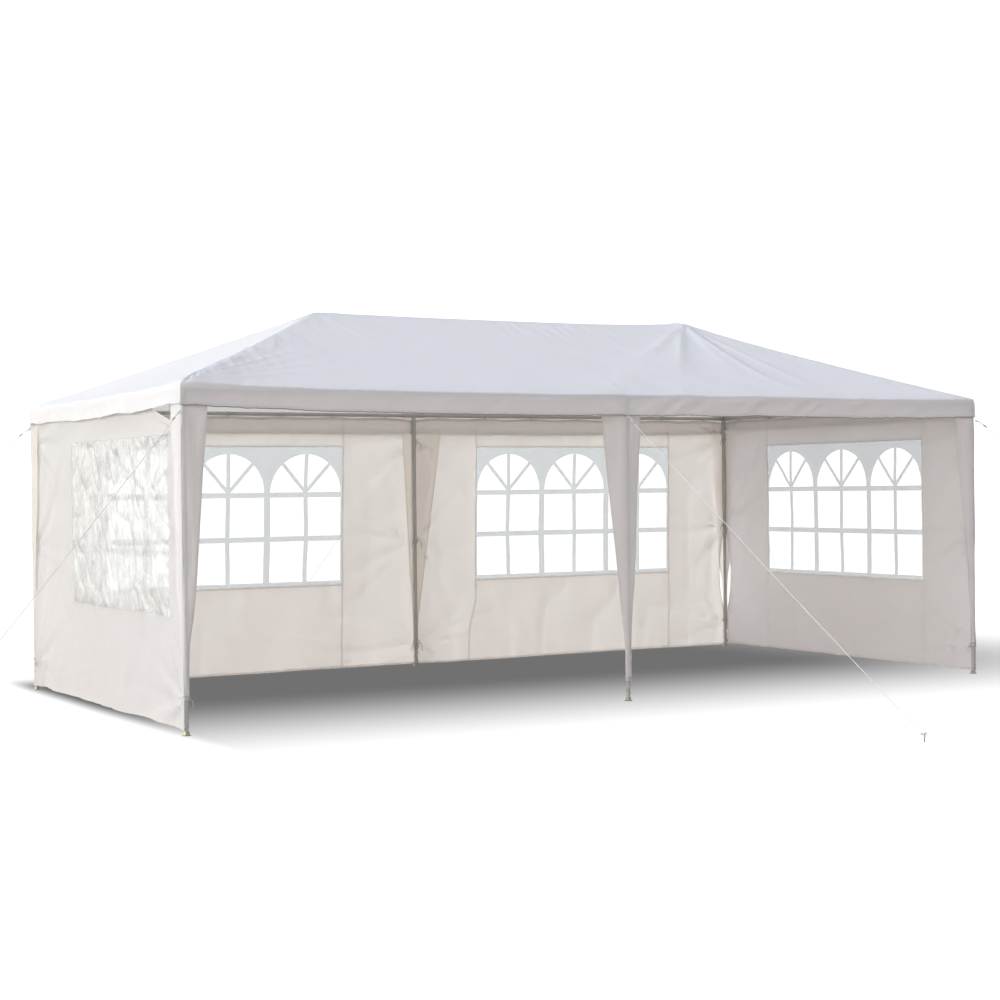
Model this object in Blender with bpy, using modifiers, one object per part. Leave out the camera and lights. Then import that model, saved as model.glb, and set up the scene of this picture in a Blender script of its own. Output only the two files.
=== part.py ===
"""A party tent, 3 m by 6 m, with a hipped roof.

Six tube legs carry a tube eave, four hip tubes and a ridge tube. A fabric cover lies on them, with a valance
round its edge and a tapered drape down each leg. Fabric walls with clear windows close the back and both ends,
and the long front is open. A guy rope runs from each leg's head to a ground stake.

The frame is +X along the front, +Z up, with the open front on the -Y side. The origin is on the ground under
the middle of the tent. All sizes are in metres.
"""

import math

import bmesh
import bpy
from mathutils import Quaternion, Vector

# Plan of the legs, and the heights
LEG_X = 2.981
LEG_Y = 1.481
EAVE_Z = 1.945  # the axis of the eave tubes
PEAK_X = 1.5
ROOF_SLOPE = 0.4

# Tubes and sleeves
TUBE_R = 0.014
LOWER_TUBE_R = 0.0125
SLEEVE_R = 0.0165
BORE_R = 0.0148
HUB_R = 0.016
ARM = 0.1
ARM_ROLL = 0.11  # each sleeve of a connector is turned a little on its axis, in radians
BORE_START = 0.036  # from here on the bores of neighbouring sleeves are clear of each other
BORE_OVERRUN = 0.01
TUBE_START = BORE_START + 0.0005
LEG_JOINT_Z = 0.985
SWAGE = 0.035
SWAGE_R = 0.0155
SWAGE_TAPER = 0.002
FOOT_CUP_R = 0.0165
FOOT_CUP_H = 0.022
FOOT_R = 0.026
FOOT_H = 0.003
TUBE_ROUNDNESS = 2  # twelve sides
ROUND_SIDES = 12
WELD_DISTANCE = 0.00001

# Layers of fabric outside the legs
GAP = 0.0005
WALL_T = 0.002
COVER_T = 0.002
ROOF_T = 0.003
WALL_X = LEG_X + SLEEVE_R + GAP  # inner face of an end wall
WALL_Y = LEG_Y + SLEEVE_R + GAP
COVER_X = WALL_X + WALL_T + GAP + COVER_T  # outer face of the valance and drapes
COVER_Y = WALL_Y + WALL_T + GAP + COVER_T

# The roof lies on the sleeves, a little above every tube's axis
ROOF_ANGLE = math.atan(ROOF_SLOPE)
ROOF_OVER_AXIS = SLEEVE_R / math.cos(ROOF_ANGLE) + 0.0003
ROOF_EDGE_Z = EAVE_Z + ROOF_OVER_AXIS - ROOF_SLOPE * (COVER_Y - LEG_Y)  # underside at the outer edge
PEAK_Z = ROOF_EDGE_Z + ROOF_SLOPE * COVER_Y - ROOF_OVER_AXIS
HIP_SEAM = 0.0003
APEX = 0.004

# Valance, drapes and walls
HEM_Z = 1.83
SEAM = 0.0003
DRAPE_TOP_WIDTH = 0.17
DRAPE_FOOT_WIDTH = 0.036
DRAPE_FOOT_Z = 0.2
MIDDLE_DRAPE_HALF = 0.155
MIDDLE_FOOT_HALF = 0.02
MIDDLE_FOOT_Z = 0.13
WALL_BOTTOM = 0.03
WALL_TOP = 1.94

# Windows
WINDOW_WIDTH = 1.85
WINDOW_BOTTOM = 0.655
WINDOW_TOP = 1.7
FILM_T = 0.001
BACK_WINDOW_X = 1.49
LEFT_WINDOW_Y = -0.32
RIGHT_WINDOW_Y = -0.05

# Guy ropes and stakes
ROPE_R = 0.002
KNOT_R = 0.006
ROPE_TOP_Z = 1.822
CORNER_STAKE = (5.0, 3.0)
MIDDLE_STAKE = (0.2, 4.0)
STAKE_R = 0.004
STAKE_H = 0.05
HOOK_R = 0.012
HOOK_STEPS = 6
ROPE_FOOT_Z = 0.032

parts = None
cutters = None


def clear_scene():
    for obj in list(bpy.data.objects):
        bpy.data.objects.remove(obj, do_unlink=True)


def new_collection(name):
    collection = bpy.data.collections.new(name)
    bpy.context.scene.collection.children.link(collection)
    return collection


def make_material(name, colour, roughness, metallic=0.0, alpha=1.0):
    material = bpy.data.materials.new(name)
    material.use_nodes = True
    shader = material.node_tree.nodes["Principled BSDF"]
    shader.inputs["Base Color"].default_value = (*colour, 1.0)
    shader.inputs["Roughness"].default_value = roughness
    shader.inputs["Metallic"].default_value = metallic
    shader.inputs["Alpha"].default_value = alpha
    return material


def place(obj, name, material, collection):
    """Names the object and moves it into its collection."""
    for old in list(obj.users_collection):
        old.objects.unlink(obj)
    collection.objects.link(obj)
    obj.name = name
    if material:
        obj.data.materials.append(material)
    if collection is cutters:
        obj.hide_render = True
        obj.display_type = "WIRE"
    return obj


def add_part(name, data, material):
    return place(bpy.data.objects.new(name, data), name, material, parts)


def tube(name, start, end, radius, material):
    """A straight tube as a two-point curve with filled caps."""
    curve = bpy.data.curves.new(name, "CURVE")
    curve.dimensions = "3D"
    curve.bevel_depth = radius
    curve.bevel_resolution = TUBE_ROUNDNESS
    curve.use_fill_caps = True
    spline = curve.splines.new("POLY")
    spline.points.add(1)
    spline.points[0].co = (*start, 1.0)
    spline.points[1].co = (*end, 1.0)
    return add_part(name, curve, material)


def cylinder_between(name, start, end, radius, material, collection, roll=0.0):
    start = Vector(start)
    end = Vector(end)
    along = end - start
    bpy.ops.mesh.primitive_cylinder_add(vertices=ROUND_SIDES, radius=radius, depth=along.length)
    obj = bpy.context.object
    obj.location = (start + end) / 2
    obj.rotation_mode = "QUATERNION"
    obj.rotation_quaternion = along.to_track_quat("Z", "Y") @ Quaternion((0.0, 0.0, 1.0), roll)
    return place(obj, name, material, collection)


def ball(name, centre, radius, material, collection):
    bpy.ops.mesh.primitive_uv_sphere_add(segments=ROUND_SIDES, ring_count=ROUND_SIDES // 2, radius=radius)
    obj = bpy.context.object
    obj.location = centre
    return place(obj, name, material, collection)


def boolean(obj, other, operation):
    modifier = obj.modifiers.new(operation.title(), "BOOLEAN")
    modifier.operation = operation
    modifier.object = other


def box(name, low, high, material):
    """A rectangular sheet or block between two corners."""
    low = Vector(low)
    high = Vector(high)
    bpy.ops.mesh.primitive_cube_add(size=1)
    obj = bpy.context.object
    obj.scale = high - low
    obj.location = (low + high) / 2
    return place(obj, name, material, parts)


def mesh_from_curve(obj, name):
    """A curve as a closed mesh with its caps welded, for use in a Boolean."""
    bpy.context.view_layer.update()
    evaluated = obj.evaluated_get(bpy.context.evaluated_depsgraph_get())
    mesh = bpy.data.meshes.new_from_object(evaluated)
    work = bmesh.new()
    work.from_mesh(mesh)
    bmesh.ops.remove_doubles(work, verts=work.verts, dist=WELD_DISTANCE)
    bmesh.ops.recalc_face_normals(work, faces=work.faces)
    work.to_mesh(mesh)
    work.free()
    made = bpy.data.objects.new(name, mesh)
    made.matrix_world = obj.matrix_world.copy()
    bpy.data.objects.remove(obj, do_unlink=True)
    return place(made, name, None, cutters)


def leg(name, x, y, steel):
    """Upper tube, swaged joint, lower tube and a cupped flat foot, turned about the leg's axis."""
    top = EAVE_Z - TUBE_START
    profile = [
        (0.0, top),
        (TUBE_R, top),
        (TUBE_R, LEG_JOINT_Z),
        (SWAGE_R, LEG_JOINT_Z - SWAGE_TAPER),
        (SWAGE_R, LEG_JOINT_Z - SWAGE),
        (LOWER_TUBE_R, LEG_JOINT_Z - SWAGE - SWAGE_TAPER),
        (LOWER_TUBE_R, FOOT_CUP_H),
        (FOOT_CUP_R, FOOT_CUP_H),
        (FOOT_CUP_R, FOOT_H),
        (FOOT_R, FOOT_H),
        (FOOT_R, 0.0),
        (0.0, 0.0),
    ]
    mesh = bpy.data.meshes.new(name)
    points = [(r, 0.0, z) for r, z in profile]
    mesh.from_pydata(points, [(i, i + 1) for i in range(len(points) - 1)], [])
    obj = add_part(name, mesh, steel)
    obj.location = (x, y, 0.0)
    screw = obj.modifiers.new("Turn", "SCREW")
    screw.steps = ROUND_SIDES
    screw.render_steps = ROUND_SIDES
    screw.use_merge_vertices = True
    screw.merge_threshold = WELD_DISTANCE
    return obj


def connector(name, centre, directions, steel):
    """Hollow sleeves that meet in a rounded hub; each tube's end sits in one sleeve."""
    centre = Vector(centre)
    hub = ball(name, centre, HUB_R, steel, parts)
    for number, direction in enumerate(directions):
        along = Vector(direction).normalized()
        roll = ARM_ROLL * (number + 1)
        sleeve = cylinder_between(
            f"{name}_sleeve_{number}", centre, centre + along * ARM, SLEEVE_R, None, cutters, roll
        )
        boolean(hub, sleeve, "UNION")
    for number, direction in enumerate(directions):
        along = Vector(direction).normalized()
        bore = cylinder_between(
            f"{name}_bore_{number}",
            centre + along * BORE_START,
            centre + along * (ARM + BORE_OVERRUN),
            BORE_R,
            None,
            cutters,
            ARM_ROLL * (number + 1),
        )
        boolean(hub, bore, "DIFFERENCE")
    return hub


def frame_tube(name, start, end, radius, steel):
    """A tube between two connectors' hubs, with its ends in their sleeves."""
    start = Vector(start)
    end = Vector(end)
    along = (end - start).normalized()
    return tube(name, start + along * TUBE_START, end - along * TUBE_START, radius, steel)


def roof_z(x, y):
    """Height of the roof's underside."""
    return ROOF_EDGE_Z + ROOF_SLOPE * min(COVER_X - abs(x), COVER_Y - abs(y))


def roof_slope(name, edge, top, fabric):
    """A flat roof panel between its outer edge and its top edge, each given by its two ends in plan."""
    work = bmesh.new()
    bmesh.ops.create_grid(work, x_segments=1, y_segments=1, size=1.0)
    for vert in work.verts:
        x, y = (top if vert.co.y > 0 else edge)[1 if vert.co.x > 0 else 0]
        vert.co = (x, y, roof_z(x, y))
    made = bmesh.ops.extrude_face_region(work, geom=work.faces[:])
    raised = [item for item in made["geom"] if isinstance(item, bmesh.types.BMVert)]
    bmesh.ops.translate(work, verts=raised, vec=(0.0, 0.0, ROOF_T))
    bmesh.ops.recalc_face_normals(work, faces=work.faces)
    mesh = bpy.data.meshes.new(name)
    work.to_mesh(mesh)
    work.free()
    return add_part(name, mesh, fabric)


def wall(name, width, centre, inner_face, along_x, window_offset, side, fabric, film):
    """A hanging wall with a window opening, and the window film that fills the opening.

    inner_face is the distance of the wall's inner face from the tent's middle, and side is +1 or -1.
    """
    half = width / 2
    low = window_offset - WINDOW_WIDTH / 2
    high = window_offset + WINDOW_WIDTH / 2
    outlines = (
        ((-half, WALL_BOTTOM), (half, WALL_BOTTOM), (half, WALL_TOP), (-half, WALL_TOP)),
        ((low, WINDOW_BOTTOM), (high, WINDOW_BOTTOM), (high, WINDOW_TOP), (low, WINDOW_TOP)),
    )
    curve = bpy.data.curves.new(name, "CURVE")
    curve.dimensions = "2D"
    curve.fill_mode = "BOTH"
    curve.extrude = WALL_T / 2
    for outline in outlines:
        spline = curve.splines.new("POLY")
        spline.points.add(len(outline) - 1)
        spline.use_cyclic_u = True
        for point, (across, height) in zip(spline.points, outline):
            point.co = (across, height, 0.0, 1.0)
    panel = add_part(name, curve, fabric)
    middle = side * (inner_face + WALL_T / 2)
    turn = 0.0 if along_x else math.pi / 2
    panel.rotation_euler = (math.pi / 2, 0.0, turn)
    panel.location = (centre, middle, 0.0) if along_x else (middle, centre, 0.0)
    film_low = (low + SEAM, WINDOW_BOTTOM + SEAM)
    film_high = (high - SEAM, WINDOW_TOP - SEAM)
    near = middle - FILM_T / 2
    far = middle + FILM_T / 2
    if along_x:
        corners = (centre + film_low[0], near, film_low[1]), (centre + film_high[0], far, film_high[1])
    else:
        corners = (near, centre + film_low[0], film_low[1]), (far, centre + film_high[0], film_high[1])
    box(name.replace("wall", "window"), *corners, film)


def solidified(name, rows, fabric):
    """An open strip of cloth between a top row and a bottom row of points, made COVER_T thick inwards."""
    bottom, top = rows
    work = bmesh.new()
    bmesh.ops.create_grid(work, x_segments=len(top) - 1, y_segments=1, size=1.0)
    for vert in work.verts:
        column = round((vert.co.x + 1.0) / 2.0 * (len(top) - 1))
        vert.co = (top if vert.co.y > 0 else bottom)[column]
    mesh = bpy.data.meshes.new(name)
    work.to_mesh(mesh)
    work.free()
    obj = add_part(name, mesh, fabric)
    thickness = obj.modifiers.new("Thickness", "SOLIDIFY")
    thickness.thickness = COVER_T
    thickness.offset = -1.0
    thickness.use_even_offset = True
    return obj


def corner_drape(name, side_x, side_y, fabric):
    """A tapered drape folded round a corner leg."""
    x = side_x * COVER_X
    y = side_y * COVER_Y

    def row(width, z):
        points = [(x - side_x * width, y, z), (x, y, z), (x, y - side_y * width, z)]
        return points if side_x * side_y < 0 else points[::-1]

    rows = row(DRAPE_FOOT_WIDTH, DRAPE_FOOT_Z), row(DRAPE_TOP_WIDTH, HEM_Z - SEAM)
    return solidified(name, rows, fabric)


def middle_drape(name, side_y, fabric):
    """A tapered flat drape over a middle leg."""
    y = side_y * COVER_Y

    def row(half, z):
        return [(half * side_y, y, z), (-half * side_y, y, z)]

    rows = row(MIDDLE_FOOT_HALF, MIDDLE_FOOT_Z), row(MIDDLE_DRAPE_HALF, HEM_Z - SEAM)
    return solidified(name, rows, fabric)


def guy_rope(name, anchor, stake, outward, rope):
    """A taut rope from a knot at the leg's head to a hooked stake, seen from the ground up."""
    outward = Vector((*outward, 0.0)).normalized()
    knot_at = Vector((*anchor, ROPE_TOP_Z)) + outward * (KNOT_R + GAP)
    foot = Vector((*stake, ROPE_FOOT_Z))
    knot = ball(name, knot_at, KNOT_R, rope, parts)
    line = cylinder_between(f"{name}_line", knot_at, foot, ROPE_R, None, cutters)
    away = Vector((foot.x - knot_at.x, foot.y - knot_at.y, 0.0)).normalized()
    curve = bpy.data.curves.new(f"{name}_stake", "CURVE")
    curve.dimensions = "3D"
    curve.bevel_depth = STAKE_R
    curve.bevel_resolution = TUBE_ROUNDNESS
    curve.use_fill_caps = True
    base = Vector((*stake, 0.0))
    straight = STAKE_H - HOOK_R
    route = [base, base + Vector((0.0, 0.0, straight))]
    for step in range(1, HOOK_STEPS + 1):
        angle = math.pi * step / HOOK_STEPS
        swing = away * HOOK_R * (1.0 - math.cos(angle))
        route.append(base + swing + Vector((0.0, 0.0, straight + HOOK_R * math.sin(angle))))
    spline = curve.splines.new("POLY")
    spline.points.add(len(route) - 1)
    for point, place_at in zip(spline.points, route):
        point.co = (*place_at, 1.0)
    peg = mesh_from_curve(add_part(f"{name}_stake", curve, None), f"{name}_stake")
    boolean(knot, line, "UNION")
    boolean(knot, peg, "UNION")
    return knot


def build_frame(steel):
    ends = {"left": -1, "right": 1}
    sides = {"front": -1, "back": 1}
    down = (0.0, 0.0, -1.0)
    peaks = {end: Vector((sign * PEAK_X, 0.0, PEAK_Z)) for end, sign in ends.items()}
    corners = {
        (side, end): Vector((ends[end] * LEG_X, sides[side] * LEG_Y, EAVE_Z)) for side in sides for end in ends
    }
    for side, sign_y in sides.items():
        middle = Vector((0.0, sign_y * LEG_Y, EAVE_Z))
        leg(f"leg_{side}_middle", 0.0, middle.y, steel)
        connector(f"connector_{side}_middle", middle, ((1, 0, 0), (-1, 0, 0), down), steel)
        for end, sign_x in ends.items():
            corner = corners[side, end]
            leg(f"leg_{side}_{end}", corner.x, corner.y, steel)
            rafter = peaks[end] - corner
            directions = ((-sign_x, 0, 0), (0, -sign_y, 0), down, rafter)
            connector(f"connector_{side}_{end}", corner, directions, steel)
            frame_tube(f"eave_tube_{side}_{end}", corner, middle, TUBE_R, steel)
            frame_tube(f"hip_tube_{side}_{end}", corner, peaks[end], LOWER_TUBE_R, steel)
    for end, sign_x in ends.items():
        frame_tube(f"eave_tube_{end}", corners["front", end], corners["back", end], TUBE_R, steel)
        hips = [corners[side, end] - peaks[end] for side in sides]
        connector(f"peak_connector_{end}", peaks[end], ((-sign_x, 0, 0), *hips), steel)
    frame_tube("ridge_tube", peaks["left"], peaks["right"], TUBE_R, steel)


def build_cover(fabric):
    edge_x = COVER_X - HIP_SEAM
    edge_y = COVER_Y - HIP_SEAM
    ridge_x = PEAK_X - HIP_SEAM
    ridge_y = HIP_SEAM / 2
    for side, sign in (("front", -1), ("back", 1)):
        edge = ((-edge_x, sign * COVER_Y), (edge_x, sign * COVER_Y))
        top = ((-ridge_x, sign * ridge_y), (ridge_x, sign * ridge_y))
        roof_slope(f"roof_{side}", edge, top, fabric)
    for end, sign in (("left", -1), ("right", 1)):
        edge = ((sign * COVER_X, -edge_y), (sign * COVER_X, edge_y))
        point = sign * (PEAK_X + APEX)
        top = ((point, HIP_SEAM - APEX), (point, APEX - HIP_SEAM))
        roof_slope(f"roof_{end}_end", edge, top, fabric)
    valance_top = ROOF_EDGE_Z - SEAM
    inner_x = COVER_X - COVER_T
    inner_y = COVER_Y - COVER_T
    between = inner_y - SEAM
    box("valance_front", (-COVER_X, -COVER_Y, HEM_Z), (COVER_X, -inner_y, valance_top), fabric)
    box("valance_back", (-COVER_X, inner_y, HEM_Z), (COVER_X, COVER_Y, valance_top), fabric)
    box("valance_left", (-COVER_X, -between, HEM_Z), (-inner_x, between, valance_top), fabric)
    box("valance_right", (inner_x, -between, HEM_Z), (COVER_X, between, valance_top), fabric)
    for side, sign_y in (("front", -1), ("back", 1)):
        middle_drape(f"leg_drape_{side}_middle", sign_y, fabric)
        for end, sign_x in (("left", -1), ("right", 1)):
            corner_drape(f"leg_drape_{side}_{end}", sign_x, sign_y, fabric)


def build_walls(fabric, film):
    back_width = WALL_X - 2 * GAP
    back_centre = back_width / 2 + GAP
    end_width = 2 * (WALL_Y - GAP)
    shift = BACK_WINDOW_X - back_centre
    wall("wall_back_left", back_width, -back_centre, WALL_Y, True, -shift, 1, fabric, film)
    wall("wall_back_right", back_width, back_centre, WALL_Y, True, shift, 1, fabric, film)
    wall("wall_left_end", end_width, 0.0, WALL_X, False, LEFT_WINDOW_Y, -1, fabric, film)
    wall("wall_right_end", end_width, 0.0, WALL_X, False, RIGHT_WINDOW_Y, 1, fabric, film)


def build_guy_ropes(rope):
    for side, sign_y in (("front", -1), ("back", 1)):
        anchor = (0.0, sign_y * COVER_Y)
        stake = (-sign_y * MIDDLE_STAKE[0], sign_y * MIDDLE_STAKE[1])
        guy_rope(f"guy_rope_{side}_middle", anchor, stake, (0.0, sign_y), rope)
        for end, sign_x in (("left", -1), ("right", 1)):
            anchor = (sign_x * COVER_X, sign_y * COVER_Y)
            stake = (sign_x * CORNER_STAKE[0], sign_y * CORNER_STAKE[1])
            guy_rope(f"guy_rope_{side}_{end}", anchor, stake, (sign_x, sign_y), rope)


def main():
    global parts, cutters
    clear_scene()
    parts = new_collection("party_tent")
    cutters = new_collection("party_tent_cutters")
    steel = make_material("coated_steel", (0.72, 0.72, 0.71), 0.4, metallic=0.3)
    fabric = make_material("tent_fabric", (0.9, 0.9, 0.92), 0.6)
    wall_fabric = make_material("wall_fabric", (0.9, 0.88, 0.86), 0.6)
    film = make_material("window_film", (0.75, 0.8, 0.82), 0.15, alpha=0.5)
    rope = make_material("white_rope", (0.85, 0.85, 0.84), 0.8)
    build_frame(steel)
    build_cover(fabric)
    build_walls(wall_fabric, film)
    build_guy_ropes(rope)


main()
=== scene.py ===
"""The finished look of the party tent: cloth cover, walls, windows, frame and guy ropes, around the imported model.

All sizes are in metres. The frame is +X along the open front, +Y to the back and +Z up.
"""

import math

import bmesh
import bpy
import numpy as np
from mathutils import Matrix, Vector


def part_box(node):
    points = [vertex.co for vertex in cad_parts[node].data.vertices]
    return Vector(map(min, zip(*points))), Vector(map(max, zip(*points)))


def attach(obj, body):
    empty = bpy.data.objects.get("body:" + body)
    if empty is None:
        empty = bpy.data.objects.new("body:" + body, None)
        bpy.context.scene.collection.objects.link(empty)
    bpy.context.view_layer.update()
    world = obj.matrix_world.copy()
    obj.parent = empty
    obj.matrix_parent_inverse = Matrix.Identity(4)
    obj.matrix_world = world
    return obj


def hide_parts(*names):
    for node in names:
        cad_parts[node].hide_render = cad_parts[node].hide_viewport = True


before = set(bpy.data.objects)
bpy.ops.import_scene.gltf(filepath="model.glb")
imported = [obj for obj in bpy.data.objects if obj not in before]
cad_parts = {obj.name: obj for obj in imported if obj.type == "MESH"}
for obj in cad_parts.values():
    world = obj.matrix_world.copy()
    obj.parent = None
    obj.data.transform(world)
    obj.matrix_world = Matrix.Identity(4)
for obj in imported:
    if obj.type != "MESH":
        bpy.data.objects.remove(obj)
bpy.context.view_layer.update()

ENDS = {"left": -1, "right": 1}
SIDES = {"front": -1, "back": 1}


def middle_of(node):
    low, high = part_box(node)
    return (low + high) / 2


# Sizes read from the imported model
LEG_X = middle_of("leg_front_right").x
LEG_Y = middle_of("leg_back_left").y
EAVE_Z = middle_of("eave_tube_left").z
TUBE_R = (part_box("eave_tube_left")[1].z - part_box("eave_tube_left")[0].z) / 2
LOWER_TUBE_R = TUBE_R - 0.0015
SLEEVE_R = TUBE_R + 0.0025
PEAK_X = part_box("ridge_tube")[1].x + 0.0365
PEAK_Z = middle_of("ridge_tube").z
ARM = 0.1
LEG_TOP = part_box("leg_front_left")[1].z
LEG_JOINT_Z = 0.985


def leg_axis(side, end):
    x = 0.0 if end == "middle" else ENDS[end] * LEG_X
    return np.array([x, SIDES[side] * LEG_Y])


# Layers of cloth outside the legs, as distances from a leg's axis
CLOTH_T = 0.0008
WALL_OFF = SLEEVE_R + 0.001
DRAPE_OFF = SLEEVE_R + 0.0027
EAVE_OFF = SLEEVE_R + 0.0008
COVER_OFF = SLEEVE_R + 0.0042

# Cover
ROOF_ANGLE = math.atan(0.4)
ROOF_RUN = LEG_Y
RIDGE_Z = EAVE_Z + EAVE_OFF / math.cos(ROOF_ANGLE) + 0.4 * ROOF_RUN
SLOPE_LENGTH = (ROOF_RUN + EAVE_OFF * math.sin(ROOF_ANGLE)) / math.cos(ROOF_ANGLE)
WRAP_LENGTH = EAVE_OFF * (math.pi / 2 - ROOF_ANGLE)
HEM_Z = {"front": 1.822, "back": 1.803, "left": 1.834, "right": 1.83}
HEM_WAVE = {"front": 0.003, "back": 0.002, "left": 0.012, "right": 0.005}
CORNER_RISE = {("front", "left"): 0.03, ("front", "right"): 0.018, ("back", "left"): 0.012, ("back", "right"): 0.012}
CORNER_REACH = 0.75
PEAK_RISE = {"left": 0.004, "right": 0.034}
PEAK_REACH = 0.33
PANEL_SAG = 0.016
SHARPEST_EDGE = math.radians(50)

# Walls
WALL_TOP = 1.928
WALL_BOTTOM = {"back_left": 0.018, "back_right": 0.018, "left_end": 0.03, "right_end": 0.03}
TOP_TIE_SPACING = 0.425
TIE_HEIGHTS = {
    ("front", "left"): (0.2, 0.99, 1.75), ("front", "right"): (0.2, 1.0, 1.75), ("back", "left"): (0.21, 1.0, 1.75),
    ("back", "middle"): (0.18, 0.978, 1.74), ("back", "right"): (0.227, 1.035, 1.765),
}
WALL_CORNERS = {
    "back_left": (("back", "left"), ("back", "middle")), "back_right": (("back", "middle"), ("back", "right")),
    "left_end": (("front", "left"), ("back", "left")), "right_end": (("front", "right"), ("back", "right")),
}
SEAM_KINK = {"back_right": 0.05}
WALL_LEAN = {"back_left": (0.033, 0.056), "back_right": (0.004, 0.04)}
WALL_CELL = 0.026
TOP_DROP = {"left_end": 0.17}


# Meshes
def noise(x, y, seed):
    """Soft random hills between -1 and 1, about one unit across."""
    table = np.random.default_rng(seed).uniform(-1.0, 1.0, (64, 64))
    x, y = np.broadcast_arrays(np.asarray(x, float), np.asarray(y, float))
    left, low = np.floor(x).astype(int), np.floor(y).astype(int)
    across, up = x - left, y - low
    across = across**3 * (across * (across * 6 - 15) + 10)
    up = up**3 * (up * (up * 6 - 15) + 10)
    lower = table[left % 64, low % 64] * (1 - across) + table[(left + 1) % 64, low % 64] * across
    upper = table[left % 64, (low + 1) % 64] * (1 - across) + table[(left + 1) % 64, (low + 1) % 64] * across
    return lower * (1 - up) + upper * up


def ease(t):
    """0 below 0, 1 above 1 and a soft step between."""
    t = np.clip(t, 0.0, 1.0)
    return t * t * (3 - 2 * t)


def fan(x, y, at, heading, spread, count, length, height, seed):
    """Folds that fan out from a point where the cloth is held."""
    dx, dy = x - at[0], y - at[1]
    far = np.hypot(dx, dy)
    turn = (np.arctan2(dy, dx) - heading + math.pi) % (2 * math.pi) - math.pi
    crest = (1 - np.abs(noise(turn * count + 9.3, far * 0.4, seed))) ** 2.5
    fade = np.exp(-((turn / spread) ** 4)) * far / (far + 0.06) * np.exp(-far / length)
    return height * crest * fade


def normals(place, a, b):
    step = 0.002
    along = place(a + step, b) - place(a - step, b)
    across = place(a, b + step) - place(a, b - step)
    normal = np.cross(along, across)
    return normal / np.maximum(np.linalg.norm(normal, axis=1), 1e-12)[:, None]


def raised(place, height):
    """The same surface, moved along its normal."""
    return lambda a, b: place(a, b) + normals(place, a, b) * height


def mesh_object(name, points, faces, material, flat=None):
    """A mesh with soft shading and, where flat coordinates are given, a UV map in metres."""
    mesh = bpy.data.meshes.new(name)
    mesh.from_pydata(np.asarray(points).tolist(), [], [list(face) for face in faces])
    if flat is not None:
        corners = np.concatenate([np.asarray(face, int).ravel() for face in faces])
        layer = mesh.uv_layers.new(name="flat")
        layer.data.foreach_set("uv", np.asarray(flat)[corners].astype(np.float32).ravel())
    mesh.shade_smooth()
    mesh.set_sharp_from_angle(angle=SHARPEST_EDGE)
    obj = bpy.data.objects.new(name, mesh)
    bpy.context.scene.collection.objects.link(obj)
    mesh.materials.append(material)
    return obj


def sheet_arrays(a, b, place, thickness=CLOTH_T, keep=None):
    """Points, faces and flat coordinates of a closed sheet over a grid of flat coordinates."""
    rows, columns = a.shape
    flat = np.stack([a.ravel(), b.ravel()], axis=1)
    index = np.arange(rows * columns).reshape(rows, columns)
    quads = np.stack([index[:-1, :-1], index[:-1, 1:], index[1:, 1:], index[1:, :-1]], axis=-1).reshape(-1, 4)
    if keep is not None:
        centres = flat[quads].mean(axis=1)
        quads = quads[keep(centres[:, 0], centres[:, 1])]
    used, quads = np.unique(quads, return_inverse=True)
    quads = quads.reshape(-1, 4)
    flat = flat[used]
    count = len(flat)
    starts = quads.ravel()
    ends = np.roll(quads, -1, axis=1).ravel()
    open_edge = ~np.isin(starts * count + ends, ends * count + starts)
    starts, ends = starts[open_edge], ends[open_edge]
    rim = np.stack([ends, starts, starts + count, ends + count], axis=1)
    middle = place(flat[:, 0], flat[:, 1])
    normal = normals(place, flat[:, 0], flat[:, 1]) * thickness / 2
    points = np.concatenate([middle + normal, middle - normal])
    faces = np.concatenate([quads, quads[:, ::-1] + count, rim])
    return points, faces, np.concatenate([flat, flat])


def joined_arrays(parts):
    """Several lots of points, faces and flat coordinates as one."""
    points, faces, flats, start = [], [], [], 0
    for part_points, part_faces, part_flat in parts:
        points.append(part_points)
        flats.append(part_flat)
        faces.extend([[int(i) + start for i in face] for face in part_faces])
        start += len(part_points)
    return np.concatenate(points), faces, np.concatenate(flats)


def cloth(name, a, b, place, material, thickness=CLOTH_T, keep=None):
    points, faces, flat = sheet_arrays(a, b, place, thickness, keep)
    obj = mesh_object(name, points, faces, material, flat)
    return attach(obj, "root")


def strip_arrays(line, width, place, thickness, step=0.03):
    """A narrow sewn band along a line of flat coordinates."""
    line = np.asarray(line, float)
    run = np.concatenate([[0], np.cumsum(np.hypot(*np.diff(line, axis=0).T))])
    at = np.linspace(0, run[-1], max(2, round(run[-1] / step) + 1))
    centre = np.stack([np.interp(at, run, line[:, k]) for k in (0, 1)], axis=1)
    along = np.gradient(centre, axis=0)
    along /= np.linalg.norm(along, axis=1)[:, None]
    side = np.stack([-along[:, 1], along[:, 0]], axis=1) * width / 2
    a = np.stack([centre[:, 0] - side[:, 0], centre[:, 0] + side[:, 0]], axis=1)
    b = np.stack([centre[:, 1] - side[:, 1], centre[:, 1] + side[:, 1]], axis=1)
    points, faces, _ = sheet_arrays(a, b, place, thickness)
    band = np.stack([np.repeat(at, 2), np.tile([0.0, width], len(at))], axis=1)
    return points, faces, np.concatenate([band, band])


def bands(name, parts, material):
    points, faces, flat = joined_arrays(parts)
    obj = mesh_object(name, points, faces, material, flat)
    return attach(obj, "root")


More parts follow.
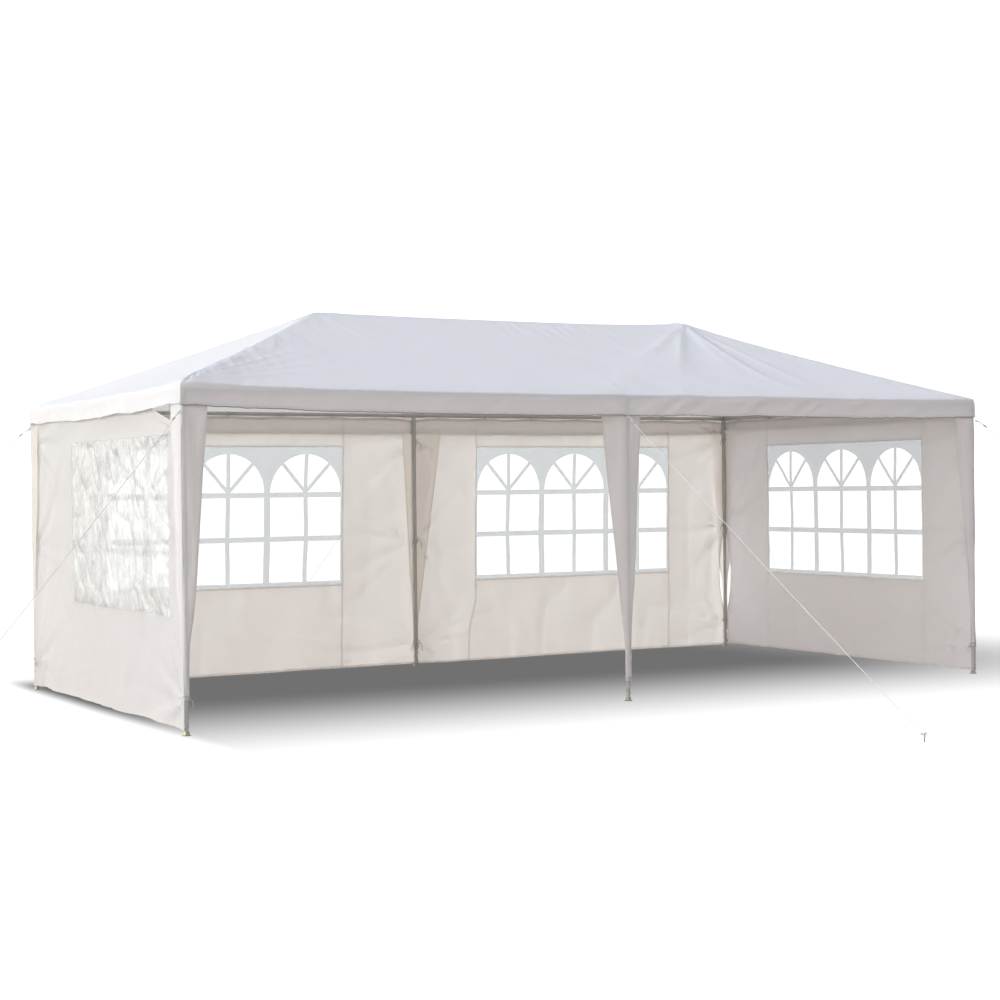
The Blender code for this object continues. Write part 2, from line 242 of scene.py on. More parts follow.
def turned_arrays(start, end, profile, sides=24):
    """A round bar from start to end, with its radius given at distances along it, and both ends closed."""
    start, end = Vector(start), Vector(end)
    turn = (end - start).to_track_quat("Z", "Y").to_matrix()
    across, up, along = (np.array(turn.col[k]) for k in range(3))
    angles = np.linspace(0, 2 * math.pi, sides, endpoint=False)
    ring = np.cos(angles)[:, None] * across + np.sin(angles)[:, None] * up
    points = np.concatenate([np.array(start) + along * far + ring * radius for far, radius in profile])
    faces = []
    for row in range(len(profile) - 1):
        for k in range(sides):
            low, high = row * sides + k, row * sides + (k + 1) % sides
            faces.append([low, high, high + sides, low + sides])
    faces.append(list(range(sides))[::-1])
    faces.append([len(points) - sides + k for k in range(sides)])
    return points, faces, np.zeros((len(points), 2))


def tube_arrays(path, radius, sides=8, lobes=0, pitch=0.024, depth=0.2):
    """A round cord along a path of points, or a twisted one where lobes are given."""
    path = np.asarray(path, float)
    along = np.gradient(path, axis=0)
    along /= np.linalg.norm(along, axis=1)[:, None]
    first = np.cross(along[0], (0.0, 0.0, 1.0))
    if np.linalg.norm(first) < 0.1:
        first = np.array([1.0, 0.0, 0.0])
    across = [first / np.linalg.norm(first)]
    for direction in along[1:]:
        kept = across[-1] - direction * (across[-1] @ direction)
        across.append(kept / np.linalg.norm(kept))
    across = np.array(across)
    up = np.cross(along, across)
    run = np.concatenate([[0], np.cumsum(np.linalg.norm(np.diff(path, axis=0), axis=1))])
    angles = np.linspace(0, 2 * math.pi, sides, endpoint=False)
    size = radius * (1 - depth + depth * np.abs(np.cos(angles * lobes / 2))) if lobes else radius * np.ones(sides)
    twist = run * 2 * math.pi / pitch if lobes else run * 0
    turned = angles[None, :] + twist[:, None]
    points = (
        path[:, None, :]
        + (np.cos(turned) * size)[..., None] * across[:, None, :]
        + (np.sin(turned) * size)[..., None] * up[:, None, :]
    ).reshape(-1, 3)
    faces = []
    for row in range(len(path) - 1):
        for k in range(sides):
            low, high = row * sides + k, row * sides + (k + 1) % sides
            faces.append([low, high, high + sides, low + sides])
    faces.append(list(range(sides))[::-1])
    faces.append([len(points) - sides + k for k in range(sides)])
    return points, faces, np.zeros((len(points), 2))


def solid(name, parts, material):
    points, faces, _ = joined_arrays(parts)
    obj = mesh_object(name, points, faces, material)
    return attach(obj, "root")


def smooth_path(points, step):
    """Points about a step apart on a smooth curve through a few points."""
    points = np.asarray(points, float)
    padded = np.concatenate([[2 * points[0] - points[1]], points, [2 * points[-1] - points[-2]]])
    path = []
    for k in range(1, len(padded) - 2):
        before, start, end, after = padded[k - 1 : k + 3]
        count = max(2, math.ceil(np.linalg.norm(end - start) / step))
        for t in np.arange(count) / count:
            path.append(
                0.5
                * (
                    2 * start
                    + (end - before) * t
                    + (2 * before - 5 * start + 4 * end - after) * t**2
                    + (3 * start - before - 3 * end + after) * t**3
                )
            )
    path.append(points[-1])
    return np.array(path)


# Materials
def new_material(name):
    material = bpy.data.materials.new(name)
    material.use_nodes = True
    nodes = material.node_tree.nodes
    return material, nodes, material.node_tree.links, nodes["Principled BSDF"], nodes["Material Output"]


def scaled_noise(nodes, links, source, scale, detail, stretch=(1.0, 1.0, 1.0)):
    mapping = nodes.new("ShaderNodeMapping")
    mapping.inputs["Scale"].default_value = stretch
    links.new(source, mapping.inputs["Vector"])
    texture = nodes.new("ShaderNodeTexNoise")
    texture.inputs["Scale"].default_value = scale
    texture.inputs["Detail"].default_value = detail
    links.new(mapping.outputs["Vector"], texture.inputs["Vector"])
    return texture.outputs["Fac"]


def bump(nodes, links, height, distance, strength=1.0, under=None):
    node = nodes.new("ShaderNodeBump")
    node.inputs["Distance"].default_value = distance
    node.inputs["Strength"].default_value = strength
    links.new(height, node.inputs["Height"])
    if under is not None:
        links.new(under, node.inputs["Normal"])
    return node.outputs["Normal"]


def mixed_colour(nodes, links, factor, first, second):
    mix = nodes.new("ShaderNodeMix")
    mix.data_type = "RGBA"
    mix.inputs["A"].default_value = (*first, 1.0)
    mix.inputs["B"].default_value = (*second, 1.0)
    links.new(factor, mix.inputs["Factor"])
    return mix.outputs["Result"]


def weave(nodes, links, uv, pitch):
    """The crossed flat tapes of woven sheeting, as a height."""
    waves = []
    for direction in ("X", "Y"):
        wave = nodes.new("ShaderNodeTexWave")
        wave.bands_direction = direction
        wave.inputs["Scale"].default_value = 1 / (pitch * 20 / (2 * math.pi) * 2)
        wave.inputs["Distortion"].default_value = 0.0
        links.new(uv, wave.inputs["Vector"])
        waves.append(wave.outputs["Fac"])
    product = nodes.new("ShaderNodeMath")
    product.operation = "MULTIPLY"
    links.new(waves[0], product.inputs[0])
    links.new(waves[1], product.inputs[1])
    return product.outputs["Value"]


def sheeting(name, colour, shade, glow, translucency, roughness=0.5, crumple=0.0016, weave_depth=0.00012):
    """White woven plastic sheeting that lets some light through."""
    material, nodes, links, shader, output = new_material(name)
    uv = nodes.new("ShaderNodeUVMap").outputs["UV"]
    broad = scaled_noise(nodes, links, uv, 1.7, 3.0)
    fine = scaled_noise(nodes, links, uv, 14.0, 5.0, (1.0, 0.7, 1.0))
    tint = mixed_colour(nodes, links, broad, colour, shade)
    links.new(tint, shader.inputs["Base Color"])
    shader.inputs["Roughness"].default_value = roughness
    shader.inputs["Specular IOR Level"].default_value = 0.35
    crumpled = bump(nodes, links, fine, crumple)
    woven = bump(nodes, links, weave(nodes, links, uv, 0.0026), weave_depth, under=crumpled)
    links.new(woven, shader.inputs["Normal"])
    through = nodes.new("ShaderNodeBsdfTranslucent")
    through.inputs["Color"].default_value = (*glow, 1.0)
    links.new(woven, through.inputs["Normal"])
    mix = nodes.new("ShaderNodeMixShader")
    mix.inputs["Fac"].default_value = translucency
    links.new(shader.outputs["BSDF"], mix.inputs[1])
    links.new(through.outputs["BSDF"], mix.inputs[2])
    links.new(mix.outputs["Shader"], output.inputs["Surface"])
    return material


def stitched(name, colour, shade, glow, translucency):
    """Doubled sheeting with two rows of stitches along it."""
    material, nodes, links, shader, output = new_material(name)
    uv = nodes.new("ShaderNodeUVMap").outputs["UV"]
    fine = scaled_noise(nodes, links, uv, 60.0, 4.0)
    links.new(mixed_colour(nodes, links, fine, colour, shade), shader.inputs["Base Color"])
    shader.inputs["Roughness"].default_value = 0.55
    rows = nodes.new("ShaderNodeTexBrick")
    rows.inputs["Scale"].default_value = 1.0
    rows.inputs["Brick Width"].default_value = 0.0045
    rows.inputs["Row Height"].default_value = 0.0035
    rows.inputs["Mortar Size"].default_value = 0.0006
    links.new(uv, rows.inputs["Vector"])
    crumpled = bump(nodes, links, fine, 0.0008)
    sewn = bump(nodes, links, rows.outputs["Fac"], 0.0003, 0.6, under=crumpled)
    links.new(sewn, shader.inputs["Normal"])
    through = nodes.new("ShaderNodeBsdfTranslucent")
    through.inputs["Color"].default_value = (*glow, 1.0)
    mix = nodes.new("ShaderNodeMixShader")
    mix.inputs["Fac"].default_value = translucency
    links.new(shader.outputs["BSDF"], mix.inputs[1])
    links.new(through.outputs["BSDF"], mix.inputs[2])
    links.new(mix.outputs["Shader"], output.inputs["Surface"])
    return material


def clear_film(name, colour, shade, alpha, crinkle, scale=9.0, streak_scale=9.0):
    """Clear flexible film with soft ripples, and streaks from a noise between two colours, which are painted
    reflection and shade where the second colour is dark.
    """
    material, nodes, links, shader, _ = new_material(name)
    uv = nodes.new("ShaderNodeUVMap").outputs["UV"]
    ripple = scaled_noise(nodes, links, uv, scale, 4.0, (1.0, 0.45, 1.0))
    links.new(bump(nodes, links, ripple, crinkle), shader.inputs["Normal"])
    # Where the second colour is dark, these streaks are painted reflection and shade on the clear film.
    tone = scaled_noise(nodes, links, uv, streak_scale, 2.0)
    links.new(mixed_colour(nodes, links, tone, colour, shade), shader.inputs["Base Color"])
    shader.inputs["Roughness"].default_value = 0.13
    shader.inputs["Specular IOR Level"].default_value = 0.8
    shader.inputs["Alpha"].default_value = alpha
    return material


def window_ink(name, colour, clear):
    """Pale ink on the film, which still lets some of the view through."""
    material, nodes, links, shader, output = new_material(name)
    uv = nodes.new("ShaderNodeUVMap").outputs["UV"]
    fine = scaled_noise(nodes, links, uv, 30.0, 4.0)
    pale = tuple(min(1.0, value * 1.08) for value in colour)
    links.new(mixed_colour(nodes, links, fine, colour, pale), shader.inputs["Base Color"])
    links.new(bump(nodes, links, fine, 0.0005), shader.inputs["Normal"])
    shader.inputs["Roughness"].default_value = 0.4
    through = nodes.new("ShaderNodeBsdfTranslucent")
    through.inputs["Color"].default_value = (*pale, 1.0)
    inked = nodes.new("ShaderNodeMixShader")
    inked.inputs["Fac"].default_value = 0.5
    links.new(shader.outputs["BSDF"], inked.inputs[1])
    links.new(through.outputs["BSDF"], inked.inputs[2])
    gap = nodes.new("ShaderNodeBsdfTransparent")
    mix = nodes.new("ShaderNodeMixShader")
    mix.inputs["Fac"].default_value = clear
    links.new(inked.outputs["Shader"], mix.inputs[1])
    links.new(gap.outputs["BSDF"], mix.inputs[2])
    links.new(mix.outputs["Shader"], output.inputs["Surface"])
    return material


def coated(name, colour, shade, roughness, metallic=0.0, grain=220.0, depth=0.0001):
    """Paint, plastic or plated steel with fine grain and uneven tone."""
    material, nodes, links, shader, _ = new_material(name)
    place = nodes.new("ShaderNodeTexCoord").outputs["Object"]
    tone = scaled_noise(nodes, links, place, 9.0, 4.0, (1.0, 1.0, 0.4))
    links.new(mixed_colour(nodes, links, tone, colour, shade), shader.inputs["Base Color"])
    shader.inputs["Metallic"].default_value = metallic
    rough = nodes.new("ShaderNodeMapRange")
    rough.inputs["To Min"].default_value = roughness * 0.75
    rough.inputs["To Max"].default_value = roughness * 1.3
    links.new(tone, rough.inputs["Value"])
    links.new(rough.outputs["Result"], shader.inputs["Roughness"])
    speckle = scaled_noise(nodes, links, place, grain, 2.0)
    links.new(bump(nodes, links, speckle, depth), shader.inputs["Normal"])
    return material


COVER_CLOTH = sheeting("cover_sheeting", (0.88, 0.89, 0.91), (0.84, 0.85, 0.88), (0.97, 0.935, 0.895), 0.55)
# Lit copy of the cover cloth: whiter and more see-through, so that the back drapes look lighter where they hang
# backlit behind the walls.
BACKLIT_DRAPE_CLOTH = sheeting("lighter_backlit_drape_sheeting", (0.9, 0.9, 0.9), (0.87, 0.87, 0.87), (1.0, 0.98, 0.95), 0.76)
WALL_CLOTH = sheeting("wall_sheeting", (0.88, 0.87, 0.87), (0.84, 0.83, 0.83), (0.97, 0.955, 0.94), 0.7)
COVER_SEAM = stitched("cover_seams", (0.88, 0.89, 0.91), (0.82, 0.83, 0.86), (0.97, 0.935, 0.895), 0.5)
WALL_SEAM = stitched("wall_seams", (0.87, 0.86, 0.86), (0.81, 0.8, 0.8), (0.97, 0.955, 0.94), 0.72)
# Painted shade: a dark strip for the shadow along the underside of the front hem, not a darker cloth.
HEM_SHADE_LINE = stitched("painted_hem_shade", (0.42, 0.4, 0.39), (0.34, 0.33, 0.32), (0.4, 0.37, 0.34), 0.3)
PRINT = window_ink("window_print", (0.66, 0.71, 0.74), 0.55)
FILM = clear_film("window_film", (0.93, 0.96, 0.98), (0.9, 0.93, 0.95), 0.1, 0.003)
# Painted reflection and shade: the crinkled film's tone runs in streaks from white to dark grey and darkens the
# window.
CRINKLED_FILM = clear_film("crinkled_window_film", (0.98, 0.98, 0.97), (0.42, 0.42, 0.42), 0.44, 0.03, 24.0, 6.0)
FAINT_PRINT = window_ink("faint_window_print", (0.55, 0.58, 0.6), 0.74)
# Painted shade: the white coated steel is given a mid grey so that the tubes look as dark as they do in shade.
STEEL = coated("white_steel_greyed_for_shade", (0.5, 0.49, 0.475), (0.42, 0.41, 0.4), 0.38)
ZINC = coated("yellow_zinc", (0.46, 0.43, 0.27), (0.27, 0.25, 0.16), 0.42, 0.8, 300.0)
ROPE = coated("white_rope", (0.76, 0.76, 0.75), (0.64, 0.64, 0.63), 0.85, 0.0, 900.0, 0.0004)
# Painted shade: the white tie cords are given a grey so that the knots and windings show as shaded.
CORD = coated("tie_cord_greyed_for_shade", (0.6, 0.58, 0.56), (0.46, 0.45, 0.43), 0.85, 0.0, 900.0, 0.0004)
SLIDER = coated("grey_slider", (0.4, 0.4, 0.4), (0.32, 0.32, 0.32), 0.45)
WIRE = coated("stake_wire", (0.5, 0.5, 0.5), (0.36, 0.35, 0.34), 0.35, 0.9)
EYELET = coated("eyelet_brass", (0.75, 0.74, 0.72), (0.6, 0.6, 0.6), 0.3, 0.9)


# Cover
def eave_profile(b):
    """Run out from the ridge and height of the cover, at a distance along it from the ridge to the hem."""
    on_slope = np.minimum(b, SLOPE_LENGTH)
    turn = ROOF_ANGLE + np.clip(b - SLOPE_LENGTH, 0, WRAP_LENGTH) / EAVE_OFF
    drop = np.maximum(b - SLOPE_LENGTH - WRAP_LENGTH, 0)
    sloping = b <= SLOPE_LENGTH
    flare = (COVER_OFF - EAVE_OFF) * ease(drop / 0.02)
    run = np.where(sloping, on_slope * math.cos(ROOF_ANGLE), ROOF_RUN + EAVE_OFF * np.sin(turn) + flare)
    height = np.where(sloping, RIDGE_Z - on_slope * math.sin(ROOF_ANGLE), EAVE_Z + EAVE_OFF * np.cos(turn) - drop)
    return run, height, drop


def hip_crumple(x, y, side, end, height, seed):
    """Small crumples beside a hip, strongest near the eave's corner."""
    corner = Vector((ENDS[end] * LEG_X, SIDES[side] * LEG_Y))
    hip = Vector((ENDS[end] * PEAK_X, 0.0)) - corner
    along = hip.normalized()
    up = (x - corner.x) * along.x + (y - corner.y) * along.y
    off = (x - corner.x) * along.y - (y - corner.y) * along.x
    rough = (1 - np.abs(noise((up + 1.1 * np.abs(off)) / 0.07, off / 0.2, seed))) ** 2.5
    rough += 0.5 * (1 - np.abs(noise((up - 0.9 * np.abs(off)) / 0.05, off / 0.12, seed + 1))) ** 2
    near = np.exp(-np.abs(off) / 0.14) * ease(np.abs(off) / 0.03)
    return height * rough * near * (0.25 + 0.75 * ease(1 - up / hip.length)) * ease(up / 0.1)


def roof_lift(x, y):
    """How far the cover is lifted over corners and peaks, hangs between tubes and is creased."""
    lift = np.full(np.shape(x), -0.001)
    for (side, end), rise in CORNER_RISE.items():
        away = np.hypot(x - ENDS[end] * LEG_X, y - SIDES[side] * LEG_Y)
        lift += rise * np.exp(-away / CORNER_REACH)
    for end, rise in PEAK_RISE.items():
        away = np.hypot(x - ENDS[end] * PEAK_X, y)
        lift += rise * np.exp(-np.maximum(away - 0.03, 0) / PEAK_REACH)
    beyond = np.maximum(np.abs(x) - PEAK_X, 0)
    run = np.maximum(np.abs(y), beyond)
    down = np.clip(run / ROOF_RUN, 0, 1)
    on_side = np.abs(y) >= beyond
    share = np.where(on_side, np.abs(x) / (PEAK_X + run), np.abs(y) / np.maximum(run, 0.01))
    free = (1 - np.minimum(share, 1) ** 4) * 4 * down * (1 - down)
    lift -= PANEL_SAG * free
    clear = ease((LEG_X - 0.14 - np.abs(x)) / 0.1) * ease((np.abs(x) - 0.11) / 0.08)
    lift -= 0.0025 * clear * np.exp(-(((1 - down) / 0.025) ** 2)) * on_side
    lift += 0.005 * noise(x / 0.7, y / 0.45, 3) * free
    lift += 0.0025 * noise((x + 0.5 * y) / 0.24, (y - 0.3 * x) / 0.34, 4) * np.minimum(4 * free, 1)
    pleats = 0.25 + 0.75 * noise(x / 0.5, 0.0, 6)
    lift += 0.012 * np.maximum(pleats, 0) * np.abs(noise(x / 0.045, y / 0.2, 5)) * np.exp(-(1 - down) * ROOF_RUN / 0.1)
    lift += fan(x, y, (-LEG_X, -LEG_Y), 0.5, 0.5, 11.0, 0.6, 0.034, 11)
    lift += fan(x, y, (LEG_X, -LEG_Y), math.pi - 0.4, 0.5, 8.0, 0.35, 0.01, 12)
    lift += fan(x, y, (-LEG_X, LEG_Y), -0.6, 0.7, 8.0, 0.35, 0.006, 13)
    lift += fan(x, y, (LEG_X, LEG_Y), math.pi + 0.5, 0.6, 7.0, 0.35, 0.004, 14)
    lift += fan(x, y, (PEAK_X, 0.0), -1.95, 0.6, 3.6, 1.8, 0.036, 15)
    lift += fan(x, y, (PEAK_X, 0.0), -0.6, 0.9, 4.0, 0.9, 0.011, 16)
    lift += fan(x, y, (-PEAK_X, 0.0), math.pi, 0.9, 4.0, 0.7, 0.009, 17)
    lift += fan(x, y, (-PEAK_X, 0.0), -1.3, 0.7, 3.5, 0.7, 0.012, 18)
    lift += fan(x, y, (0.0, -ROOF_RUN), math.pi / 2, 1.15, 3.5, 0.3, 0.01, 19)
    lift += fan(x, y, (0.0, ROOF_RUN), -math.pi / 2, 1.15, 3.5, 0.3, 0.005, 20)
    lift += hip_crumple(x, y, "front", "left", 0.022, 21)
    lift += hip_crumple(x, y, "front", "right", 0.011, 23)
    lift += hip_crumple(x, y, "back", "left", 0.01, 25)
    lift += hip_crumple(x, y, "back", "right", 0.01, 27)
    gathers = np.abs(noise(x / 0.06, y / 0.3, 29)) * np.exp(-(((x - 0.3) / 0.5) ** 2))
    lift += 0.016 * gathers * ease(np.abs(y) / 0.05) * np.exp(-np.abs(y) / 0.2)
    return lift


def valance_out(side, s, drop, half):
    """How far the hanging valance stands out from straight down."""
    hang = np.clip(drop / (EAVE_Z - HEM_Z[side]), 0, 1)
    corner = ease((half - np.abs(s)) / 0.1)
    seed = 30 + 3 * list(HEM_Z).index(side)
    wave = 0.55 + 0.6 * noise(s / 0.34, 0.0, seed) + 0.4 * noise(s / 0.13, drop / 0.12, seed + 1)
    out = corner * hang**1.3 * HEM_WAVE[side] * np.maximum(wave, 0.05) * 1.4
    slant = (1 - np.abs(noise((s + drop * 1.6) / 0.11, drop / 0.4, seed + 2))) ** 2
    fine = np.abs(noise((s + drop * 2.2) / 0.045, drop / 0.2, seed + 3))
    near = 0.45 + 0.9 * np.exp(-np.abs(s - 0.7) / 0.8) * (side == "front")
    out += corner * near * ease(drop / 0.025) * (0.008 * slant + 0.0035 * fine)
    return out + 0.0015 * hang


def hem_drop(side, s, half):
    """The valance's own length at a place along its side."""
    seed = 60 + list(HEM_Z).index(side)
    ragged = 0.5 * HEM_WAVE[side] * noise(s / 0.22, 0.0, seed)
    corner = np.exp(-(half - np.abs(s)) / 0.5)
    return EAVE_Z - HEM_Z[side] + ragged * ease((half - np.abs(s)) / 0.1) - 0.006 * corner


def cover_place(side):
    """The place in space for flat coordinates on one side's roof slope and valance."""
    sign = SIDES.get(side) or ENDS[side]
    long_side = side in SIDES
    half = (LEG_X if long_side else LEG_Y) + COVER_OFF
    reach = 0.0 if long_side else PEAK_X
    extra = LEG_X - PEAK_X - ROOF_RUN

    def place(s, b):
        run, height, drop = eave_profile(b)
        share = np.clip(run / ROOF_RUN, 0, None)
        out = run + reach + (0.0 if long_side else extra * share)
        if long_side:
            x, y = s, sign * out
        else:
            x, y = sign * out, s
        lift = roof_lift(x, y)
        stand = valance_out(side, s, drop, half) * (drop > 0)
        if long_side:
            y = y + sign * stand
        else:
            x = x + sign * stand
        return np.stack([x, y, height + lift], axis=-1)

    return place, half


def half_length(side, b):
    """Half the width of one side's cloth at a distance down from the ridge."""
    run, _, _ = eave_profile(b)
    extra = LEG_X - PEAK_X - ROOF_RUN
    start = PEAK_X if side in SIDES else 0.0
    grow = run * (1 + extra / ROOF_RUN) if side in SIDES else run
    return start + grow


def build_cover():
    for side in ("front", "back", "left", "right"):
        place, half = cover_place(side)
        columns = 290 if side in SIDES else 150
        share = np.linspace(-1, 1, columns + 1)
        down = np.concatenate([
            np.linspace(0.0, SLOPE_LENGTH, 73)[:-1],
            np.linspace(SLOPE_LENGTH, SLOPE_LENGTH + WRAP_LENGTH, 6)[:-1],
            SLOPE_LENGTH + WRAP_LENGTH + np.linspace(0, 1, 10) * (EAVE_Z - HEM_Z[side]),
        ])
        width = np.maximum(half_length(side, down), 0.003)
        a = share[None, :] * width[:, None]
        b = np.repeat(down[:, None], columns + 1, axis=1)
        full_drop = hem_drop(side, a, half)
        start = SLOPE_LENGTH + WRAP_LENGTH
        b = np.where(b > start, start + (b - start) * full_drop / (EAVE_Z - HEM_Z[side]), b)
        node_end = "_end" if side in ENDS else ""
        name = f"cover_{side}"
        piece = cloth(name, a, b, place, COVER_CLOTH)
        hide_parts(f"roof_{side}{node_end}", f"valance_{side}")
        along = np.linspace(-half, half, 200)
        hem = np.stack([along, start + hem_drop(side, along, half) - 0.008], axis=1)
        parts = [strip_arrays(hem, 0.016, place, 0.0019)]
        if side in SIDES:
            slope = np.linspace(0.05, SLOPE_LENGTH, 60)
            for end in ENDS.values():
                line = np.stack([end * (half_length(side, slope) - 0.007), slope], axis=1)
                parts.append(strip_arrays(line, 0.012, place, 0.0018))
        seams = bands(f"cover_{side}_seams", parts, COVER_SEAM)
        # On the front this strip along the hem's bottom is painted shade; on the other sides it is seam cloth.
        shade_or_seam = HEM_SHADE_LINE if side == "front" else COVER_SEAM
        hem_bottom = np.stack([along, start + hem_drop(side, along, half) - 0.0015], axis=1)
        hem_bottom_strip = bands(f"cover_{side}_hem_edge", [strip_arrays(hem_bottom, 0.005, place, 0.003)], shade_or_seam)


# Leg drapes
DRAPE_UNDER_HEM = 0.012
DRAPE_FOOT_Z = 0.2
MIDDLE_FOOT_Z = 0.13
HUG_Z = 0.34
HUG_HALF = {"middle": 0.026, "corner": 0.032}
HUG_CURL = {"middle": 26.0, "corner": 50.0}


def drape_place(axis, outward, lean, hug_curl, top, seed, ruffle=0.006):
    """A tapered drape folded round a leg: flat coordinates run round the leg, and down from the drape's top."""
    sideways = np.array([-outward[1], outward[0]])

    def place(a, b):
        down = np.clip(b / (top - HUG_Z), 0, 1)
        bend = DRAPE_OFF - 0.002 * down
        curl = hug_curl * ease((down - 0.7) / 0.3) + 0.4 + 1.2 * ease(down / 0.3)
        corner = bend * lean
        far = np.abs(a)
        loose = np.maximum(far - corner, 0)
        turn = np.where(far < corner, far / bend, lean + curl * loose)
        out = np.where(far < corner, bend * np.cos(turn), bend * math.cos(lean) + (np.cos(turn) - math.cos(lean)) / curl)
        aside = np.where(far < corner, bend * np.sin(turn), bend * math.sin(lean) + (np.sin(turn) - math.sin(lean)) / curl)
        free = ease(loose / 0.05) * ease(b / 0.12) * (1 - ease((down - 0.6) / 0.35))
        soft = noise(a / 0.07, b / 0.6, seed) + 0.4 * noise(a / 0.035 + b, b / 0.18, seed + 1)
        stand = free * ruffle * np.maximum(0.5 + soft, 0) + 0.0012 * np.abs(noise(a / 0.02, b / 0.05, seed + 2)) * ease(b / 0.05)
        out = out + stand * np.cos(np.minimum(turn, math.pi / 2))
        aside = aside + stand * np.sin(np.minimum(turn, math.pi / 2))
        flat = axis + out[:, None] * outward + (np.sign(a) * aside)[:, None] * sideways
        return np.concatenate([flat, (top - b)[:, None]], axis=1)

    return place


def build_drape(side, end, halves):
    sign_y = SIDES[side]
    if end == "middle":
        outward, lean, foot = np.array([0.0, sign_y]), 0.24, MIDDLE_FOOT_Z
    else:
        outward, lean, foot = np.array([ENDS[end], sign_y]) / math.sqrt(2), math.pi / 4, DRAPE_FOOT_Z
    name, leg = f"leg_drape_{side}_{end}", f"leg_{side}_{end}"
    kind = "middle" if end == "middle" else "corner"
    top = HEM_Z[side] + CORNER_RISE.get((side, end), 0.0) + DRAPE_UNDER_HEM
    seed, ruffle = 80 + 10 * sign_y + len(end), DRAPE_RUFFLE.get((side, end), 0.006)
    place = drape_place(leg_axis(side, end), outward, lean, HUG_CURL[kind], top, seed, ruffle)
    length = top - foot
    share = np.linspace(-1, 1, 45)
    down = np.linspace(0, 1, 101) * length
    taper = np.clip(1 - down / (top - HUG_Z), 0, 1)
    edges = [HUG_HALF[kind] + (half - HUG_HALF[kind]) * taper for half in halves]
    edges[0] = edges[0] + DRAPE_BELLY.get((side, end), 0.0) * np.exp(-(((down - 0.36) / 0.26) ** 2))
    a = np.where(share[None, :] < 0, share[None, :] * edges[0][:, None], share[None, :] * edges[1][:, None])
    b = np.repeat(down[:, None], len(share), axis=1)
    material = BACKLIT_DRAPE_CLOTH if side == "back" else COVER_CLOTH
    piece = cloth(name, a, b, place, material)
    hems = []
    for sign, edge in zip((-1, 1), edges):
        line = np.stack([sign * (edge - 0.005), down], axis=1)
        hems.append(strip_arrays(line, 0.01, place, 0.0017))
    sewn = BACKLIT_DRAPE_CLOTH if side == "back" else COVER_SEAM
    seams = bands(f"{name}_hems", hems, sewn)
    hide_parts(name)


# Each drape's width to either side of its leg, first on the side that comes first going round anticlockwise
DRAPE_HALVES = {
    ("front", "left"): (0.163, 0.157), ("front", "middle"): (0.175, 0.13), ("front", "right"): (0.18, 0.165),
    ("back", "left"): (0.16, 0.16), ("back", "middle"): (0.225, 0.11), ("back", "right"): (0.16, 0.165),
}


DRAPE_BELLY = {("front", "left"): 0.045}
DRAPE_RUFFLE = {("front", "left"): 0.014}


def build_drapes():
    for (side, end), halves in DRAPE_HALVES.items():
        build_drape(side, end, halves)


